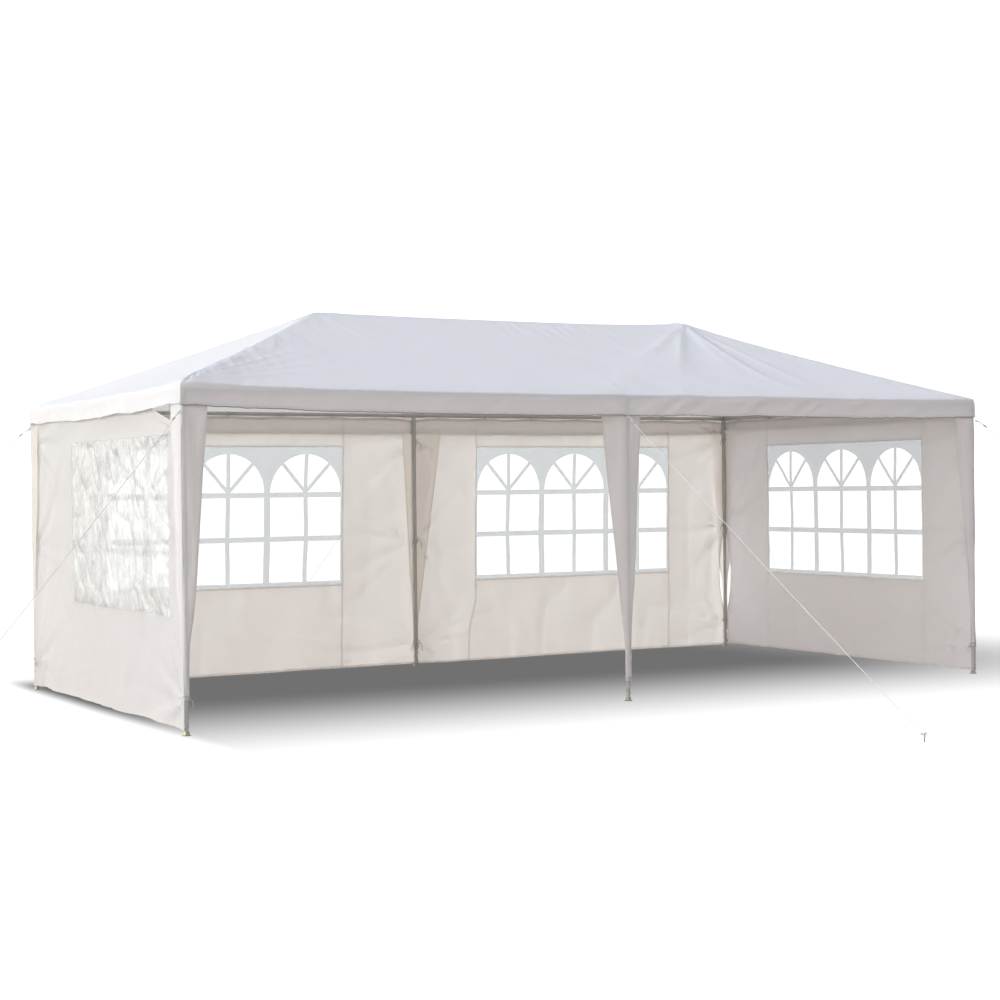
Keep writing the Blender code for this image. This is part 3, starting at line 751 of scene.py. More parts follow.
# Walls and windows
class Wall:
    """A hanging wall: flat coordinates run along it from its middle, and up from the ground."""

    def __init__(self, name, seed, crinkle, low_pull, high_pull, cell=0.02):
        low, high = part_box(f"wall_{name}")
        self.name = name
        self.seed = seed
        self.crinkle = crinkle
        self.cell = cell
        self.pull = (low_pull, high_pull)
        self.along = 0 if high.x - low.x > high.y - low.y else 1
        self.side = math.copysign(1, low[1 - self.along])
        self.middle = (low[self.along] + high[self.along]) / 2
        self.half = (high[self.along] - low[self.along]) / 2
        self.face = (LEG_Y if self.along == 0 else LEG_X) + WALL_OFF
        self.bottom = WALL_BOTTOM[name]
        self.ties = [TIE_HEIGHTS[corner] for corner in WALL_CORNERS[name]]
        window_low, window_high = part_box(f"window_{name}")
        self.window = (window_low[self.along] - self.middle, window_high[self.along] - self.middle)
        self.sill, self.head = window_low.z, window_high.z

    def edge_pull(self, z, end):
        """How far an edge draws in between the ties that hold it: most between the lower two."""
        heights = [0.0, *self.ties[end], WALL_TOP]
        draw = np.zeros(np.shape(z))
        for low, high, share in zip(heights[:-1], heights[1:], (0.3, 1.0, 0.25, 0.3)):
            inside = (z >= low) & (z < high)
            bow = np.sin(math.pi * np.clip((z - low) / (high - low), 0, 1))
            draw += np.where(inside, self.pull[end] * share * bow, 0.0)
        return draw

    def in_window(self, a, z, margin=0.0):
        across = np.minimum(a - self.window[0], self.window[1] - a)
        up = np.minimum(z - self.sill, self.head - z)
        return np.minimum(across, up) > margin

    def edge_of_window(self, a, z):
        """How far inside the window's edge a place is; negative outside."""
        return np.minimum(np.minimum(a - self.window[0], self.window[1] - a), np.minimum(z - self.sill, self.head - z))

    def depth(self, a, z):
        """How far the wall hangs inside the flat plane through its edges."""
        away = self.half - np.abs(a)
        free = ease(away / 0.14) * ease((WALL_TOP - z) / 0.25)
        bend = noise(z / 0.9, 0.0, self.seed + 1) * 0.25
        soft = 0.5 + 0.5 * noise(a / 0.36 + bend, z / 1.5, self.seed)
        deep = 0.03 * soft * free
        crest = (1 - np.abs(noise(a / 0.24 + 2 * bend, z / 0.9, self.seed + 2))) ** 3
        deep += 0.012 * crest * free
        deep += 0.0035 * noise((a + 0.4 * z) / 0.09, z / 0.2, self.seed + 3) * free
        low = (1 - np.abs(noise(a / 0.5, (z + 0.15 * a) / 0.07, self.seed + 4))) ** 2
        deep += 0.005 * low * np.exp(-(((z - 0.22) / 0.16) ** 2)) * free
        for end, heading in ((-1, 0.0), (1, math.pi)):
            for number, height in enumerate(self.ties[max(end, 0)]):
                seed = self.seed + 10 + number + 5 * (end > 0)
                deep += fan(a, z, (end * self.half, height), heading, 1.25, 4.2, 0.34, 0.045, seed) * ease(away / 0.05)
        for k in range(-3, 4):
            tie = (k * TOP_TIE_SPACING, WALL_TOP + 0.01)
            deep += fan(a, z, tie, -math.pi / 2, 0.9, 2.5, 0.2, 0.008, self.seed + 40 + k) * ease(away / 0.05)
        return deep * (1 - 0.6 * ease((self.edge_of_window(a, z) + 0.08) / 0.16))

    def place(self, a, z):
        a, z = np.asarray(a, float), np.asarray(z, float)
        away = self.half - np.abs(a)
        near = np.clip(1 - away / 0.5, 0, 1) ** 3
        pulled = np.where(a < 0, self.edge_pull(z, 0), self.edge_pull(z, 1))
        along = self.middle + a - np.sign(a) * pulled * near
        along = along + 0.006 * noise(a / 0.5, z / 0.35, self.seed + 5) * ease(away / 0.2)
        set_over, lean = WALL_LEAN.get(self.name, (0.0, 0.0))
        along = along - (set_over + lean * (1 - z / WALL_TOP)) * ease(away / 0.45)
        kink = SEAM_KINK.get(self.name, 0.0) * np.exp(-(((a - self.window[0]) / 0.22) ** 2))
        along = along - kink * ease((0.5 - z) / 0.26)
        flare = 0.012 * noise(a / 0.45, 0.0, self.seed + 6) * np.exp(-(z - self.bottom) / 0.15) * ease(away / 0.2)
        out = self.side * (self.face - self.depth(a, z) + np.minimum(flare, 0.0005))
        scallop = 0.5 - 0.5 * np.cos(2 * math.pi * a / TOP_TIE_SPACING)
        sag = 0.007 * scallop * np.exp(-(WALL_TOP - z) / 0.1)
        sag = sag + 0.014 * np.exp(-away / 0.09) * np.exp(-(WALL_TOP - z) / 0.12)
        near_front = np.exp(-(((self.half + a) / 0.5) ** 2))
        sag = sag + TOP_DROP.get(self.name, 0.0) * near_front * ease((z - self.head) / (WALL_TOP - self.head))
        low = 0.004 * noise(a / 0.9, 0.0, self.seed + 7) * np.exp(-(z - self.bottom) / 0.3)
        points = [along, out] if self.along == 0 else [out, along]
        return np.stack([*points, z - sag + low], axis=-1)

    def film_place(self, a, z):
        """The clear film's surface: the wall's, crinkled away from its sewn edges."""
        edge = self.edge_of_window(a, z)
        free = ease((edge + 0.004) / 0.05)
        folds = noise(a / 0.09, z / 0.3, self.seed + 70) + 0.6 * noise((a + 0.6 * z) / 0.05, z / 0.12, self.seed + 71)
        sharp = (1 - np.abs(noise((a - 0.5 * z) / 0.11, z / 0.22, self.seed + 72))) ** 4
        pucker = noise(a / 0.03, z / 0.03, self.seed + 73) * np.exp(-edge / 0.05) * ease(edge / 0.012)
        points = self.place(a, z)
        points[..., 1 - self.along] -= self.side * self.crinkle * (free * (0.5 * folds + 1.2 * sharp) + 0.6 * pucker)
        return points


BAR = 0.034
DIAGONAL_BAR = 0.026
MULLION = 0.05
FRAME_SIDE = 0.012
HEAD_BAR = 0.045
RAIL_ONE = 0.36
RAIL_TWO = 0.69
RAIL = 0.038
SILL_BAR = 0.03
SPOKES = [math.radians(angle) for angle in (0, 48, 90, 132, 180)]


def fan_pane(centre, radius, first, second, first_bar, second_bar):
    """The outline of one pane of an arch's fan, between two spokes."""
    def unit(angle):
        return Vector((math.cos(angle), math.sin(angle)))

    def normal(angle):
        return Vector((-math.sin(angle), math.cos(angle)))

    n1, n2 = normal(first), normal(second)
    matrix = Matrix(((n1.x, n1.y), (n2.x, n2.y)))
    inner = matrix.inverted_safe() @ Vector((first_bar / 2, -second_bar / 2))
    start = n1 * first_bar / 2 + unit(first) * math.sqrt(radius**2 - first_bar**2 / 4)
    end = n2 * -second_bar / 2 + unit(second) * math.sqrt(radius**2 - second_bar**2 / 4)
    low, high = math.atan2(start.y, start.x), math.atan2(end.y, end.x)
    arc = [unit(low + (high - low) * k / 9) * radius for k in range(10)]
    return [centre + point for point in (inner, *arc)]


def pattern_outlines(width, height):
    """The window's outline and its panes, from its lower left corner."""
    outlines = [[(0, 0), (width, 0), (width, height), (0, height)]]
    clear = (width - 2 * FRAME_SIDE - 2 * MULLION) / 3
    spring = height - RAIL_ONE + RAIL / 2
    radius = min(clear / 2, height - HEAD_BAR - spring)
    for bay in range(3):
        left = FRAME_SIDE + bay * (clear + MULLION)
        centre = Vector((left + clear / 2, spring))
        bars = (0.0, DIAGONAL_BAR, BAR * 0.9, DIAGONAL_BAR, 0.0)
        for k in range(4):
            outlines.append(fan_pane(centre, radius, SPOKES[k], SPOKES[k + 1], bars[k], bars[k + 1]))
        rows = (
            (SILL_BAR, height - RAIL_TWO - RAIL / 2),
            (height - RAIL_TWO + RAIL / 2, height - RAIL_ONE - RAIL / 2),
        )
        for low, high in rows:
            for start, end in ((left, centre.x - BAR / 2), (centre.x + BAR / 2, left + clear)):
                outlines.append([(start, low), (end, low), (end, high), (start, high)])
    return outlines


def flat_mesh(outlines, cell, width, height):
    """A flat outline with holes as a mesh that is cut along a square grid, so that it can follow a surface."""
    curve = bpy.data.curves.new("outline", "CURVE")
    curve.dimensions = "2D"
    curve.fill_mode = "BOTH"
    for outline in outlines:
        spline = curve.splines.new("POLY")
        spline.points.add(len(outline) - 1)
        spline.use_cyclic_u = True
        for point, (across, up) in zip(spline.points, outline):
            point.co = (across, up, 0.0, 1.0)
    holder = bpy.data.objects.new("outline", curve)
    bpy.context.scene.collection.objects.link(holder)
    bpy.context.view_layer.update()
    mesh = bpy.data.meshes.new_from_object(holder.evaluated_get(bpy.context.evaluated_depsgraph_get()))
    bpy.data.objects.remove(holder)
    work = bmesh.new()
    work.from_mesh(mesh)
    bpy.data.meshes.remove(mesh)
    bmesh.ops.remove_doubles(work, verts=work.verts, dist=1e-5)
    for axis, length in ((0, width), (1, height)):
        normal = Vector((1, 0, 0)) if axis == 0 else Vector((0, 1, 0))
        for k in range(1, round(length / cell)):
            everything = work.verts[:] + work.edges[:] + work.faces[:]
            bmesh.ops.bisect_plane(work, geom=everything, dist=1e-6, plane_co=normal * k * cell, plane_no=normal)
    return work


def printed_pattern(wall, material):
    """The printed bars of a window, laid just inside its film."""
    width, height = wall.window[1] - wall.window[0], wall.head - wall.sill
    work = flat_mesh(pattern_outlines(width, height), wall.cell, width, height)
    flat = np.array([vert.co[:2] for vert in work.verts]) + (wall.window[0], wall.sill)
    work.verts.index_update()
    faces = [[vert.index for vert in face.verts] for face in work.faces]
    work.free()
    place = wall.film_place
    outward = normals(place, flat[:, 0], flat[:, 1])
    facing = np.sign(outward[:, 1 - wall.along].mean() * wall.side)
    middle = place(flat[:, 0], flat[:, 1]) - outward * facing * 0.0008
    piece = mesh_object(f"window_{wall.name}_print", middle, faces, material, flat)
    thick = piece.modifiers.new("Thickness", "SOLIDIFY")
    thick.thickness = 0.0004
    thick.offset = 0.0
    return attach(piece, "root")


def grid_lines(start, end, cell):
    return np.linspace(start, end, max(2, round((end - start) / cell) + 1))


def build_wall(wall):
    across = np.unique(np.round(np.concatenate([
        grid_lines(-wall.half, wall.window[0], WALL_CELL),
        grid_lines(*wall.window, WALL_CELL),
        grid_lines(wall.window[1], wall.half, WALL_CELL),
    ]), 6))
    up = np.unique(np.round(np.concatenate([
        grid_lines(wall.bottom, wall.sill, WALL_CELL),
        grid_lines(wall.sill, wall.head, WALL_CELL),
        grid_lines(wall.head, WALL_TOP, WALL_CELL),
    ]), 6))
    a, b = np.meshgrid(across, up)
    piece = cloth(
        f"wall_{wall.name}", a, b, wall.place, WALL_CLOTH,
        keep=lambda x, z: ~wall.in_window(x, z),
    )
    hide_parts(f"wall_{wall.name}")
    low, high = wall.window
    inset = 0.006
    lines = [
        ([(-wall.half, wall.bottom + 0.008), (wall.half, wall.bottom + 0.008)], 0.014),
        ([(-wall.half, WALL_TOP - 0.01), (wall.half, WALL_TOP - 0.01)], 0.02),
        ([(-wall.half + 0.008, wall.bottom), (-wall.half + 0.008, WALL_TOP)], 0.016),
        ([(wall.half - 0.008, wall.bottom), (wall.half - 0.008, WALL_TOP)], 0.016),
        ([(low - inset, wall.bottom), (low - inset, WALL_TOP)], 0.01),
        ([(high + inset, wall.bottom), (high + inset, WALL_TOP)], 0.01),
        ([(low, wall.sill - inset), (high, wall.sill - inset)], 0.011),
        ([(low, wall.head + inset), (high, wall.head + inset)], 0.011),
    ]
    parts = [strip_arrays(line, width, wall.place, 0.0018) for line, width in lines]
    seams = bands(f"wall_{wall.name}_seams", parts, WALL_SEAM)
    across = grid_lines(low - 0.006, high + 0.006, wall.cell)
    a, b = np.meshgrid(across, grid_lines(wall.sill - 0.006, wall.head + 0.006, wall.cell))
    film_material = CRINKLED_FILM if wall.crinkle > 0.004 else FILM
    film = cloth(f"window_{wall.name}", a, b, wall.film_place, film_material, 0.0005)
    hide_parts(f"window_{wall.name}")
    printed = printed_pattern(wall, FAINT_PRINT if wall.crinkle > 0.004 else PRINT)
    return piece


WALLS = [
    Wall("back_left", 200, 0.0012, 0.012, 0.003),
    Wall("back_right", 300, 0.0012, 0.003, 0.06),
    Wall("left_end", 400, 0.008, 0.012, 0.012, 0.014),
    Wall("right_end", 500, 0.0012, 0.02, 0.075),
]


# Ties
def loop_points(centre, radius, turns, rise, start=0.0, steps=16):
    """A cord wound round an upright leg."""
    count = int(turns * steps)
    angles = start + np.linspace(0, turns * 2 * math.pi, count + 1)
    heights = np.linspace(-rise / 2, rise / 2, count + 1)
    return np.stack([
        centre[0] + radius * np.cos(angles), centre[1] + radius * np.sin(angles), centre[2] + heights,
    ], axis=1)


def knot_arrays(centre, size, heading, radius=0.0017):
    """A small overhand knot with two short tails."""
    centre = np.array(centre, float)
    out = np.array([math.cos(heading), math.sin(heading), 0.0])
    aside = np.array([-out[1], out[0], 0.0])
    up = np.array([0.0, 0.0, 1.0])
    angles = np.linspace(0, 2 * math.pi, 33)
    ring = (
        centre
        + (np.sin(angles) + 2 * np.sin(2 * angles))[:, None] * aside * size / 3
        + (np.cos(angles) - 2 * np.cos(2 * angles))[:, None] * up * size / 3
        - np.sin(3 * angles)[:, None] * out * size / 3
    )
    parts = [tube_arrays(ring, radius, 6)]
    for sign in (-1, 1):
        tail = [
            centre + aside * sign * size * 0.4,
            centre + aside * sign * size * 1.3 + out * size * 0.6 - up * size * 0.5,
            centre + aside * sign * size * 1.5 + out * size * 0.5 - up * size * 2.2,
        ]
        parts.append(tube_arrays(smooth_path(tail, 0.004), radius, 6))
    return parts


def build_leg_ties():
    """Cords that tie the walls' edges to the back and corner legs."""
    legs = [("back", "left"), ("back", "middle"), ("back", "right"), ("front", "left"), ("front", "right")]
    inward = {("back", "left"): -0.8, ("back", "middle"): -1.57, ("back", "right"): -2.4, ("front", "left"): 0.9, ("front", "right"): 2.3}
    for side, end in legs:
        axis = leg_axis(side, end)
        parts = []
        for number, height in enumerate(TIE_HEIGHTS[side, end]):
            radius = (LOWER_TUBE_R if height < LEG_JOINT_Z else TUBE_R) + 0.0018
            for shift in (-0.003, 0.003):
                ring = loop_points((*axis, height + shift), radius, 1.0, 0.003, steps=20)
                parts.append(tube_arrays(ring, 0.0017, 6))
            heading = inward[side, end] + 0.3 * (number - 1)
            knot = (*(axis + radius * np.array([math.cos(heading), math.sin(heading)])), height)
            parts.extend(knot_arrays(knot, 0.028 if end == "middle" else 0.02, heading, 0.0024))
        solid(f"wall_ties_{side}_{end}", parts, CORD)


def build_top_ties():
    """Short cords that hang the walls from the eave tubes."""
    for wall in WALLS:
        parts = []
        for k in range(-3, 4):
            a = k * TOP_TIE_SPACING
            hold = wall.place(np.array([a]), np.array([WALL_TOP - 0.012]))[0]
            axis = np.array(hold)
            axis[1 - wall.along] = wall.side * (LEG_Y if wall.along == 0 else LEG_X)
            axis[2] = EAVE_Z
            angles = np.linspace(0, 2 * math.pi, 21)
            ring = np.repeat(axis[None, :], 21, axis=0)
            ring[:, 1 - wall.along] += (TUBE_R + 0.0018) * np.cos(angles)
            ring[:, 2] += (TUBE_R + 0.0018) * np.sin(angles)
            ring[:, wall.along] += 0.003 * np.cos(angles / 2)
            parts.append(tube_arrays(ring, 0.0017, 6))
            under = axis - np.array([0, 0, TUBE_R + 0.002])
            parts.append(tube_arrays(smooth_path([under, (under + hold) / 2 + (0, 0, 0.001), hold], 0.004), 0.0017, 6))
        solid(f"wall_top_ties_{wall.name}", parts, CORD)


def build_drape_ties():
    """The drapes' feet, bound round the legs, and the cords crossed below them."""
    for side in SIDES:
        for end in ("left", "middle", "right"):
            axis = leg_axis(side, end)
            foot = MIDDLE_FOOT_Z if end == "middle" else DRAPE_FOOT_Z
            radius = LOWER_TUBE_R + 0.0065
            parts = []
            for shift in (0.012, 0.018, 0.024):
                ring = loop_points((*axis, foot + shift), radius, 1.0, 0.002, steps=20)
                parts.append(tube_arrays(ring, 0.002, 6))
            if (side, end) != ("front", "right"):
                drop = foot - 0.04
                for turn in (-1, 1):
                    wound = loop_points((*axis, 0.04 + drop / 2 + 0.006), LOWER_TUBE_R + 0.0018, drop / 0.055, drop, steps=14)
                    wound[:, 1] = axis[1] + turn * (wound[:, 1] - axis[1])
                    parts.append(tube_arrays(wound, 0.0019, 6))
            solid(f"drape_ties_{side}_{end}", parts, CORD)


# Frame
def build_legs():
    for side in SIDES:
        for end in ("left", "middle", "right"):
            axis = leg_axis(side, end)
            name = f"leg_{side}_{end}"
            upper = [
                (0.0, TUBE_R + 0.0002), (0.0008, TUBE_R + 0.0014), (0.034, TUBE_R + 0.0014), (0.037, TUBE_R),
                (LEG_TOP - LEG_JOINT_Z + 0.035, TUBE_R),
            ]
            lower = [(0.0, LOWER_TUBE_R), (LEG_JOINT_Z - 0.025, LOWER_TUBE_R)]
            parts = [
                turned_arrays((*axis, LEG_JOINT_Z - 0.035), (*axis, LEG_TOP), upper),
                turned_arrays((*axis, 0.02), (*axis, LEG_JOINT_Z - 0.005), lower),
            ]
            button = Vector((*axis, LEG_JOINT_Z - 0.018))
            face = Vector((0.35, -SIDES[side], 0.0)).normalized() * (-1 if side == "back" else 1)
            face = Vector((0.5, -0.87, 0.0))
            tip = button + face * (TUBE_R + 0.0035)
            parts.append(turned_arrays(button, tip, [
                (0.0, 0.003), (TUBE_R + 0.002, 0.003), (TUBE_R + 0.003, 0.0024), (TUBE_R + 0.0035, 0.001),
            ], 12))
            piece = solid(f"{name}_tube", parts, STEEL)
            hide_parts(name)
            build_foot(name, axis)


def build_foot(name, axis):
    """A pressed cup on a flat plate."""
    cup = [
        (0.0, 0.0255), (0.0022, 0.026), (0.003, 0.0255), (0.004, 0.019), (0.006, 0.0168), (0.021, 0.0165), (0.022, 0.0155),
        (0.0222, LOWER_TUBE_R + 0.0003),
    ]
    parts = [turned_arrays((*axis, 0.0), (*axis, 0.03), cup, 28)]
    solid(f"{name}_foot", parts, ZINC)


def build_tubes():
    """Eave, hip and ridge tubes, each in two lengths with a swaged joint in the middle of the long ones."""
    spans = []
    peaks = {end: Vector((sign * PEAK_X, 0.0, PEAK_Z)) for end, sign in ENDS.items()}
    corner = {
        (side, end): Vector((*leg_axis(side, end), EAVE_Z)) for side in SIDES for end in ("left", "middle", "right")
    }
    for side in SIDES:
        for end in ENDS:
            spans.append((f"eave_tube_{side}_{end}", corner[side, end], corner[side, "middle"], TUBE_R))
            spans.append((f"hip_tube_{side}_{end}", corner[side, end], peaks[end], LOWER_TUBE_R))
    for end in ENDS:
        spans.append((f"eave_tube_{end}", corner["front", end], corner["back", end], TUBE_R))
    spans.append(("ridge_tube", peaks["left"], peaks["right"], TUBE_R))
    for name, start, end, radius in spans:
        along = (end - start).normalized()
        start, end = start + along * 0.04, end - along * 0.04
        length = (end - start).length
        half = length / 2
        profile = [
            (0.0, radius), (half - 0.03, radius), (half - 0.028, radius - 0.0008), (half - 0.0005, radius - 0.0008),
            (half, radius + 0.0004), (half + 0.004, radius), (length, radius),
        ]
        piece = solid(name + "_bar", [turned_arrays(start, end, profile)], STEEL)
        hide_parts(name)


def build_connectors():
    """Sleeves welded into a hub, each with a rolled lip and a spring button."""
    down = Vector((0, 0, -1))
    peaks = {end: Vector((sign * PEAK_X, 0.0, PEAK_Z)) for end, sign in ENDS.items()}
    hubs = []
    for side, sign_y in SIDES.items():
        middle = Vector((*leg_axis(side, "middle"), EAVE_Z))
        hubs.append((f"connector_{side}_middle", middle, (Vector((1, 0, 0)), Vector((-1, 0, 0)), down)))
        for end, sign_x in ENDS.items():
            corner = Vector((*leg_axis(side, end), EAVE_Z))
            rafter = (peaks[end] - corner).normalized()
            arms = (Vector((-sign_x, 0, 0)), Vector((0, -sign_y, 0)), down, rafter)
            hubs.append((f"connector_{side}_{end}", corner, arms))
    for end, sign_x in ENDS.items():
        hips = [(Vector((*leg_axis(side, end), EAVE_Z)) - peaks[end]).normalized() for side in SIDES]
        hubs.append((f"peak_connector_{end}", peaks[end], (Vector((-sign_x, 0, 0)), *hips)))
    for name, centre, arms in hubs:
        parts = []
        for arm in arms:
            sleeve = [(0.0, SLEEVE_R), (ARM - 0.004, SLEEVE_R), (ARM - 0.003, SLEEVE_R + 0.0005), (ARM - 0.0006, SLEEVE_R + 0.0005), (ARM, SLEEVE_R)]
            parts.append(turned_arrays(centre, centre + arm, sleeve))
            aside = arm.cross(Vector((0.3, 0.4, 1.0))).normalized()
            spot = centre + arm * (ARM - 0.03)
            parts.append(turned_arrays(spot, spot + aside, [(0.0, 0.003), (SLEEVE_R + 0.0015, 0.003), (SLEEVE_R + 0.003, 0.0012)], 12))
        weld = [(0.0, 0.003), (0.003, 0.0105), (0.009, 0.0155), (0.0172, 0.0172), (0.0254, 0.0155), (0.0314, 0.0105), (0.0344, 0.003)]
        top = centre - Vector((0, 0, 0.0172))
        parts.append(turned_arrays(top, top + Vector((0, 0, 1)), weld))
        piece = solid(name + "_sleeves", parts, STEEL)
        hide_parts(name)


# Guy ropes
ROPE_R = 0.0023
ROPE_TOP_Z = 1.822
CORNER_STAKE = (5.0, 3.0)
MIDDLE_STAKE = (0.2, 4.0)
STAKE_R = 0.004
STAKE_H = 0.05
HOOK_R = 0.012
ROPE_FOOT_Z = 0.032


def build_guy_ropes():
    for side, sign_y in SIDES.items():
        for end in ("left", "middle", "right"):
            name = f"guy_rope_{side}_{end}"
            axis = leg_axis(side, end)
            if end == "middle":
                stake = Vector((-sign_y * MIDDLE_STAKE[0], sign_y * MIDDLE_STAKE[1], 0.0))
                out = Vector((0.0, sign_y, 0.0))
                head = Vector((0.0, sign_y * (LEG_Y + DRAPE_OFF + 0.008), ROPE_TOP_Z))
            else:
                sign_x = ENDS[end]
                stake = Vector((sign_x * CORNER_STAKE[0], sign_y * CORNER_STAKE[1], 0.0))
                out = Vector((sign_x, sign_y, 0.0)).normalized()
                head = Vector((sign_x * (LEG_X + COVER_OFF), sign_y * (LEG_Y + COVER_OFF), ROPE_TOP_Z)) + out * 0.007
            build_rope(name, head, stake, out)


def build_rope(name, head, stake, out):
    foot = stake + Vector((0.0, 0.0, ROPE_FOOT_Z))
    away = (foot - head)
    length = away.length
    along = away.normalized()
    steps = round(length / 0.0042)
    share = np.linspace(0, 1, steps + 1)
    path = np.array(head)[None, :] + share[:, None] * np.array(away)[None, :]
    path[:, 2] -= 0.012 * np.sin(share * math.pi)
    parts = [tube_arrays(path, ROPE_R, 9, 3, 0.022, 0.25)]
    parts.extend(knot_arrays(head, 0.008, math.atan2(out.y, out.x), 0.0021))
    above = along.cross(Vector((0, 0, 1))).cross(along).normalized()
    slider_at = head + along * 0.075
    second = smooth_path([
        np.array(head), np.array(head + along * 0.03 + above * 0.006), np.array(slider_at + above * 0.007),
        np.array(slider_at + along * 0.02 + above * 0.005),
    ], 0.006)
    parts.append(tube_arrays(second, ROPE_R, 9, 3, 0.022, 0.25))
    flat_away = Vector((foot.x - head.x, foot.y - head.y, 0.0)).normalized()
    loop = [np.array(foot + along * -0.03), np.array(foot + along * -0.012 + Vector((0, 0, 0.004)))]
    piece = solid(name, parts, ROPE)
    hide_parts(name)
    stake_path = [stake, stake + Vector((0, 0, STAKE_H - HOOK_R))]
    for step in range(1, 9):
        angle = math.pi * step / 8
        swing = flat_away * HOOK_R * (1 - math.cos(angle))
        stake_path.append(stake + swing + Vector((0, 0, STAKE_H - HOOK_R + HOOK_R * math.sin(angle))))
    solid(f"{name}_stake", [tube_arrays(np.array(stake_path), STAKE_R, 12)], WIRE)
    turn = loop_points((*stake[:2], ROPE_FOOT_Z), STAKE_R + 0.002, 2.0, 0.007, steps=14)
    solid(f"{name}_bend", [tube_arrays(turn, 0.0021, 7)] + knot_arrays(foot + along * -0.02, 0.007, math.atan2(-out.y, -out.x), 0.0021), ROPE)
    bar = [(0.0, 0.002), (0.001, 0.0045), (0.006, 0.0052), (0.02, 0.0052), (0.025, 0.0045), (0.026, 0.002)]
    start = slider_at - along * 0.013 + above * 0.0035
    solid(f"{name}_slider", [turned_arrays(start, start + along, bar, 14)], SLIDER)


# Light, floor and camera
ZENITH_LIGHT = (0.83, 1.03, 1.3)
BRIGHT_SIDE = Vector((-0.85, 0.53, 0.0))
SIDE_LIGHT = (2.85, 2.72, 2.4)
RING_LIGHT = (0.76, 0.62, 0.58)
KEY_LIGHT = (0.79, 0.86, 1.0)
KEY_STRENGTH = 1.45
KEY_FROM = (-0.93, 0.1, 0.35)
KEY_SPREAD = math.radians(22)
FLOOR_COLOUR = (0.38, 0.34, 0.29)
PAPER_COLOUR = (1.25, 1.25, 1.25)
SHADE_COLOUR = (0.165, 0.165, 0.165)


def world_light():
    """White behind the tent, lit by a brighter sky above and a dimmer ring of light round it."""
    world = bpy.data.worlds.new("studio")
    bpy.context.scene.world = world
    world.use_nodes = True
    nodes, links = world.node_tree.nodes, world.node_tree.links
    seen = nodes["Background"]
    seen.inputs["Color"].default_value = (1.0, 1.0, 1.0, 1.0)
    seen.inputs["Strength"].default_value = 1.3
    direction = nodes.new("ShaderNodeTexCoord").outputs["Generated"]
    factors = []
    for axis, low, high in ((Vector((0, 0, 1)), 0.2, 0.95), (BRIGHT_SIDE, -0.1, 0.8)):
        facing = nodes.new("ShaderNodeVectorMath")
        facing.operation = "DOT_PRODUCT"
        facing.inputs[1].default_value = axis
        links.new(direction, facing.inputs[0])
        ramp = nodes.new("ShaderNodeMapRange")
        ramp.interpolation_type = "SMOOTHSTEP"
        ramp.inputs["From Min"].default_value = low
        ramp.inputs["From Max"].default_value = high
        links.new(facing.outputs["Value"], ramp.inputs["Value"])
        factors.append(ramp.outputs["Result"])
    ring = nodes.new("ShaderNodeMix")
    ring.name = "ring"
    ring.data_type = "RGBA"
    ring.inputs["A"].default_value = (*RING_LIGHT, 1.0)
    ring.inputs["B"].default_value = (*SIDE_LIGHT, 1.0)
    links.new(factors[1], ring.inputs["Factor"])
    dome = nodes.new("ShaderNodeMix")
    dome.name = "dome"
    dome.data_type = "RGBA"
    dome.inputs["B"].default_value = (*ZENITH_LIGHT, 1.0)
    links.new(ring.outputs["Result"], dome.inputs["A"])
    links.new(factors[0], dome.inputs["Factor"])
    lit = nodes.new("ShaderNodeBackground")
    links.new(dome.outputs["Result"], lit.inputs["Color"])
    path = nodes.new("ShaderNodeLightPath")
    mix = nodes.new("ShaderNodeMixShader")
    links.new(path.outputs["Is Camera Ray"], mix.inputs["Fac"])
    links.new(lit.outputs["Background"], mix.inputs[1])
    links.new(seen.outputs["Background"], mix.inputs[2])
    links.new(mix.outputs["Shader"], nodes["World Output"].inputs["Surface"])


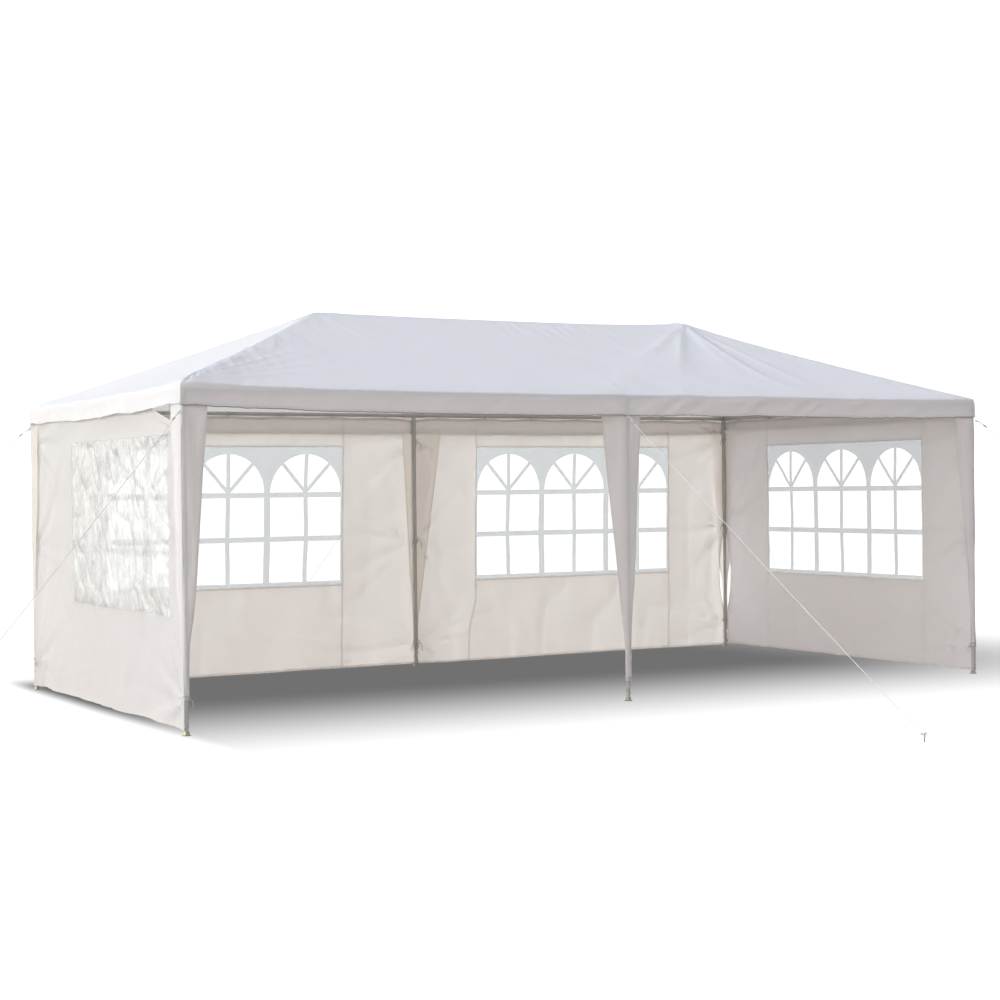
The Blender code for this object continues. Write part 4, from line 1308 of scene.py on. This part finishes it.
def build_floor():
    """A pale floor with a painted soft shade under the tent."""
    bpy.ops.mesh.primitive_plane_add(size=400)
    floor = bpy.context.object
    floor.name = "floor"
    material, nodes, links, shader, output = new_material("pale_floor")
    shader.inputs["Base Color"].default_value = (*FLOOR_COLOUR, 1.0)
    shader.inputs["Roughness"].default_value = 0.9
    shader.inputs["Specular IOR Level"].default_value = 0.0
    place = nodes.new("ShaderNodeSeparateXYZ")
    links.new(nodes.new("ShaderNodeTexCoord").outputs["Object"], place.inputs["Vector"])
    shades = []
    for axis, start, end in (("Y", -3.5, 0.3), ("Y", 2.6, 1.5), ("X", -3.15, -2.9), ("X", 7.0, 2.4)):
        ramp = nodes.new("ShaderNodeMapRange")
        ramp.interpolation_type = "SMOOTHSTEP"
        ramp.inputs["From Min"].default_value = start
        ramp.inputs["From Max"].default_value = end
        links.new(place.outputs[axis], ramp.inputs["Value"])
        shades.append(ramp.outputs["Result"])
    shade = shades[0]
    for other in shades[1:]:
        product = nodes.new("ShaderNodeMath")
        product.operation = "MULTIPLY"
        links.new(shade, product.inputs[0])
        links.new(other, product.inputs[1])
        shade = product.outputs["Value"]
    # Painted shade: the camera sees the floor as glowing white that darkens under the tent, while the lights see the
    # plain darker floor colour.
    painted = nodes.new("ShaderNodeEmission")
    links.new(mixed_colour(nodes, links, shade, PAPER_COLOUR, SHADE_COLOUR), painted.inputs["Color"])
    path = nodes.new("ShaderNodeLightPath")
    mix = nodes.new("ShaderNodeMixShader")
    links.new(path.outputs["Is Camera Ray"], mix.inputs["Fac"])
    links.new(shader.outputs["BSDF"], mix.inputs[1])
    links.new(painted.outputs["Emission"], mix.inputs[2])
    links.new(mix.outputs["Shader"], output.inputs["Surface"])
    floor.data.materials.append(material)


def build_stage():
    build_floor()
    world_light()
    light = bpy.data.lights.new("key", "SUN")
    light.energy = KEY_STRENGTH
    light.angle = KEY_SPREAD
    light.color = KEY_LIGHT
    key = bpy.data.objects.new("key", light)
    key.rotation_mode = "QUATERNION"
    key.rotation_quaternion = Vector(KEY_FROM).to_track_quat("Z", "Y")
    bpy.context.scene.collection.objects.link(key)
    bpy.context.scene.view_settings.view_transform = "Standard"


CAMERA_AT = (-6.68, -11.5, 1.37)
CAMERA_YAW = math.radians(29.84)
CAMERA_PITCH = math.radians(-0.35)
CAMERA_ROLL = math.radians(-0.64)
CAMERA_LENS = 67.48


def build_camera():
    data = bpy.data.cameras.new("camera")
    data.lens = CAMERA_LENS
    data.sensor_width = 36.0
    camera = bpy.data.objects.new("camera", data)
    bpy.context.scene.collection.objects.link(camera)
    ahead = Vector((
        math.sin(CAMERA_YAW) * math.cos(CAMERA_PITCH), math.cos(CAMERA_YAW) * math.cos(CAMERA_PITCH), math.sin(CAMERA_PITCH),
    ))
    right = Vector((math.cos(CAMERA_YAW), -math.sin(CAMERA_YAW), 0.0))
    up = right.cross(ahead)
    rolled_right = right * math.cos(CAMERA_ROLL) + up * math.sin(CAMERA_ROLL)
    rolled_up = up * math.cos(CAMERA_ROLL) - right * math.sin(CAMERA_ROLL)
    turn = Matrix((rolled_right, rolled_up, -ahead)).transposed()
    camera.matrix_world = Matrix.Translation(CAMERA_AT) @ turn.to_4x4()
    bpy.context.scene.camera = camera


build_cover()
build_drapes()
for wall in WALLS:
    build_wall(wall)
build_leg_ties()
build_top_ties()
build_drape_ties()
build_legs()
build_tubes()
build_connectors()
build_guy_ropes()
build_stage()
build_camera()
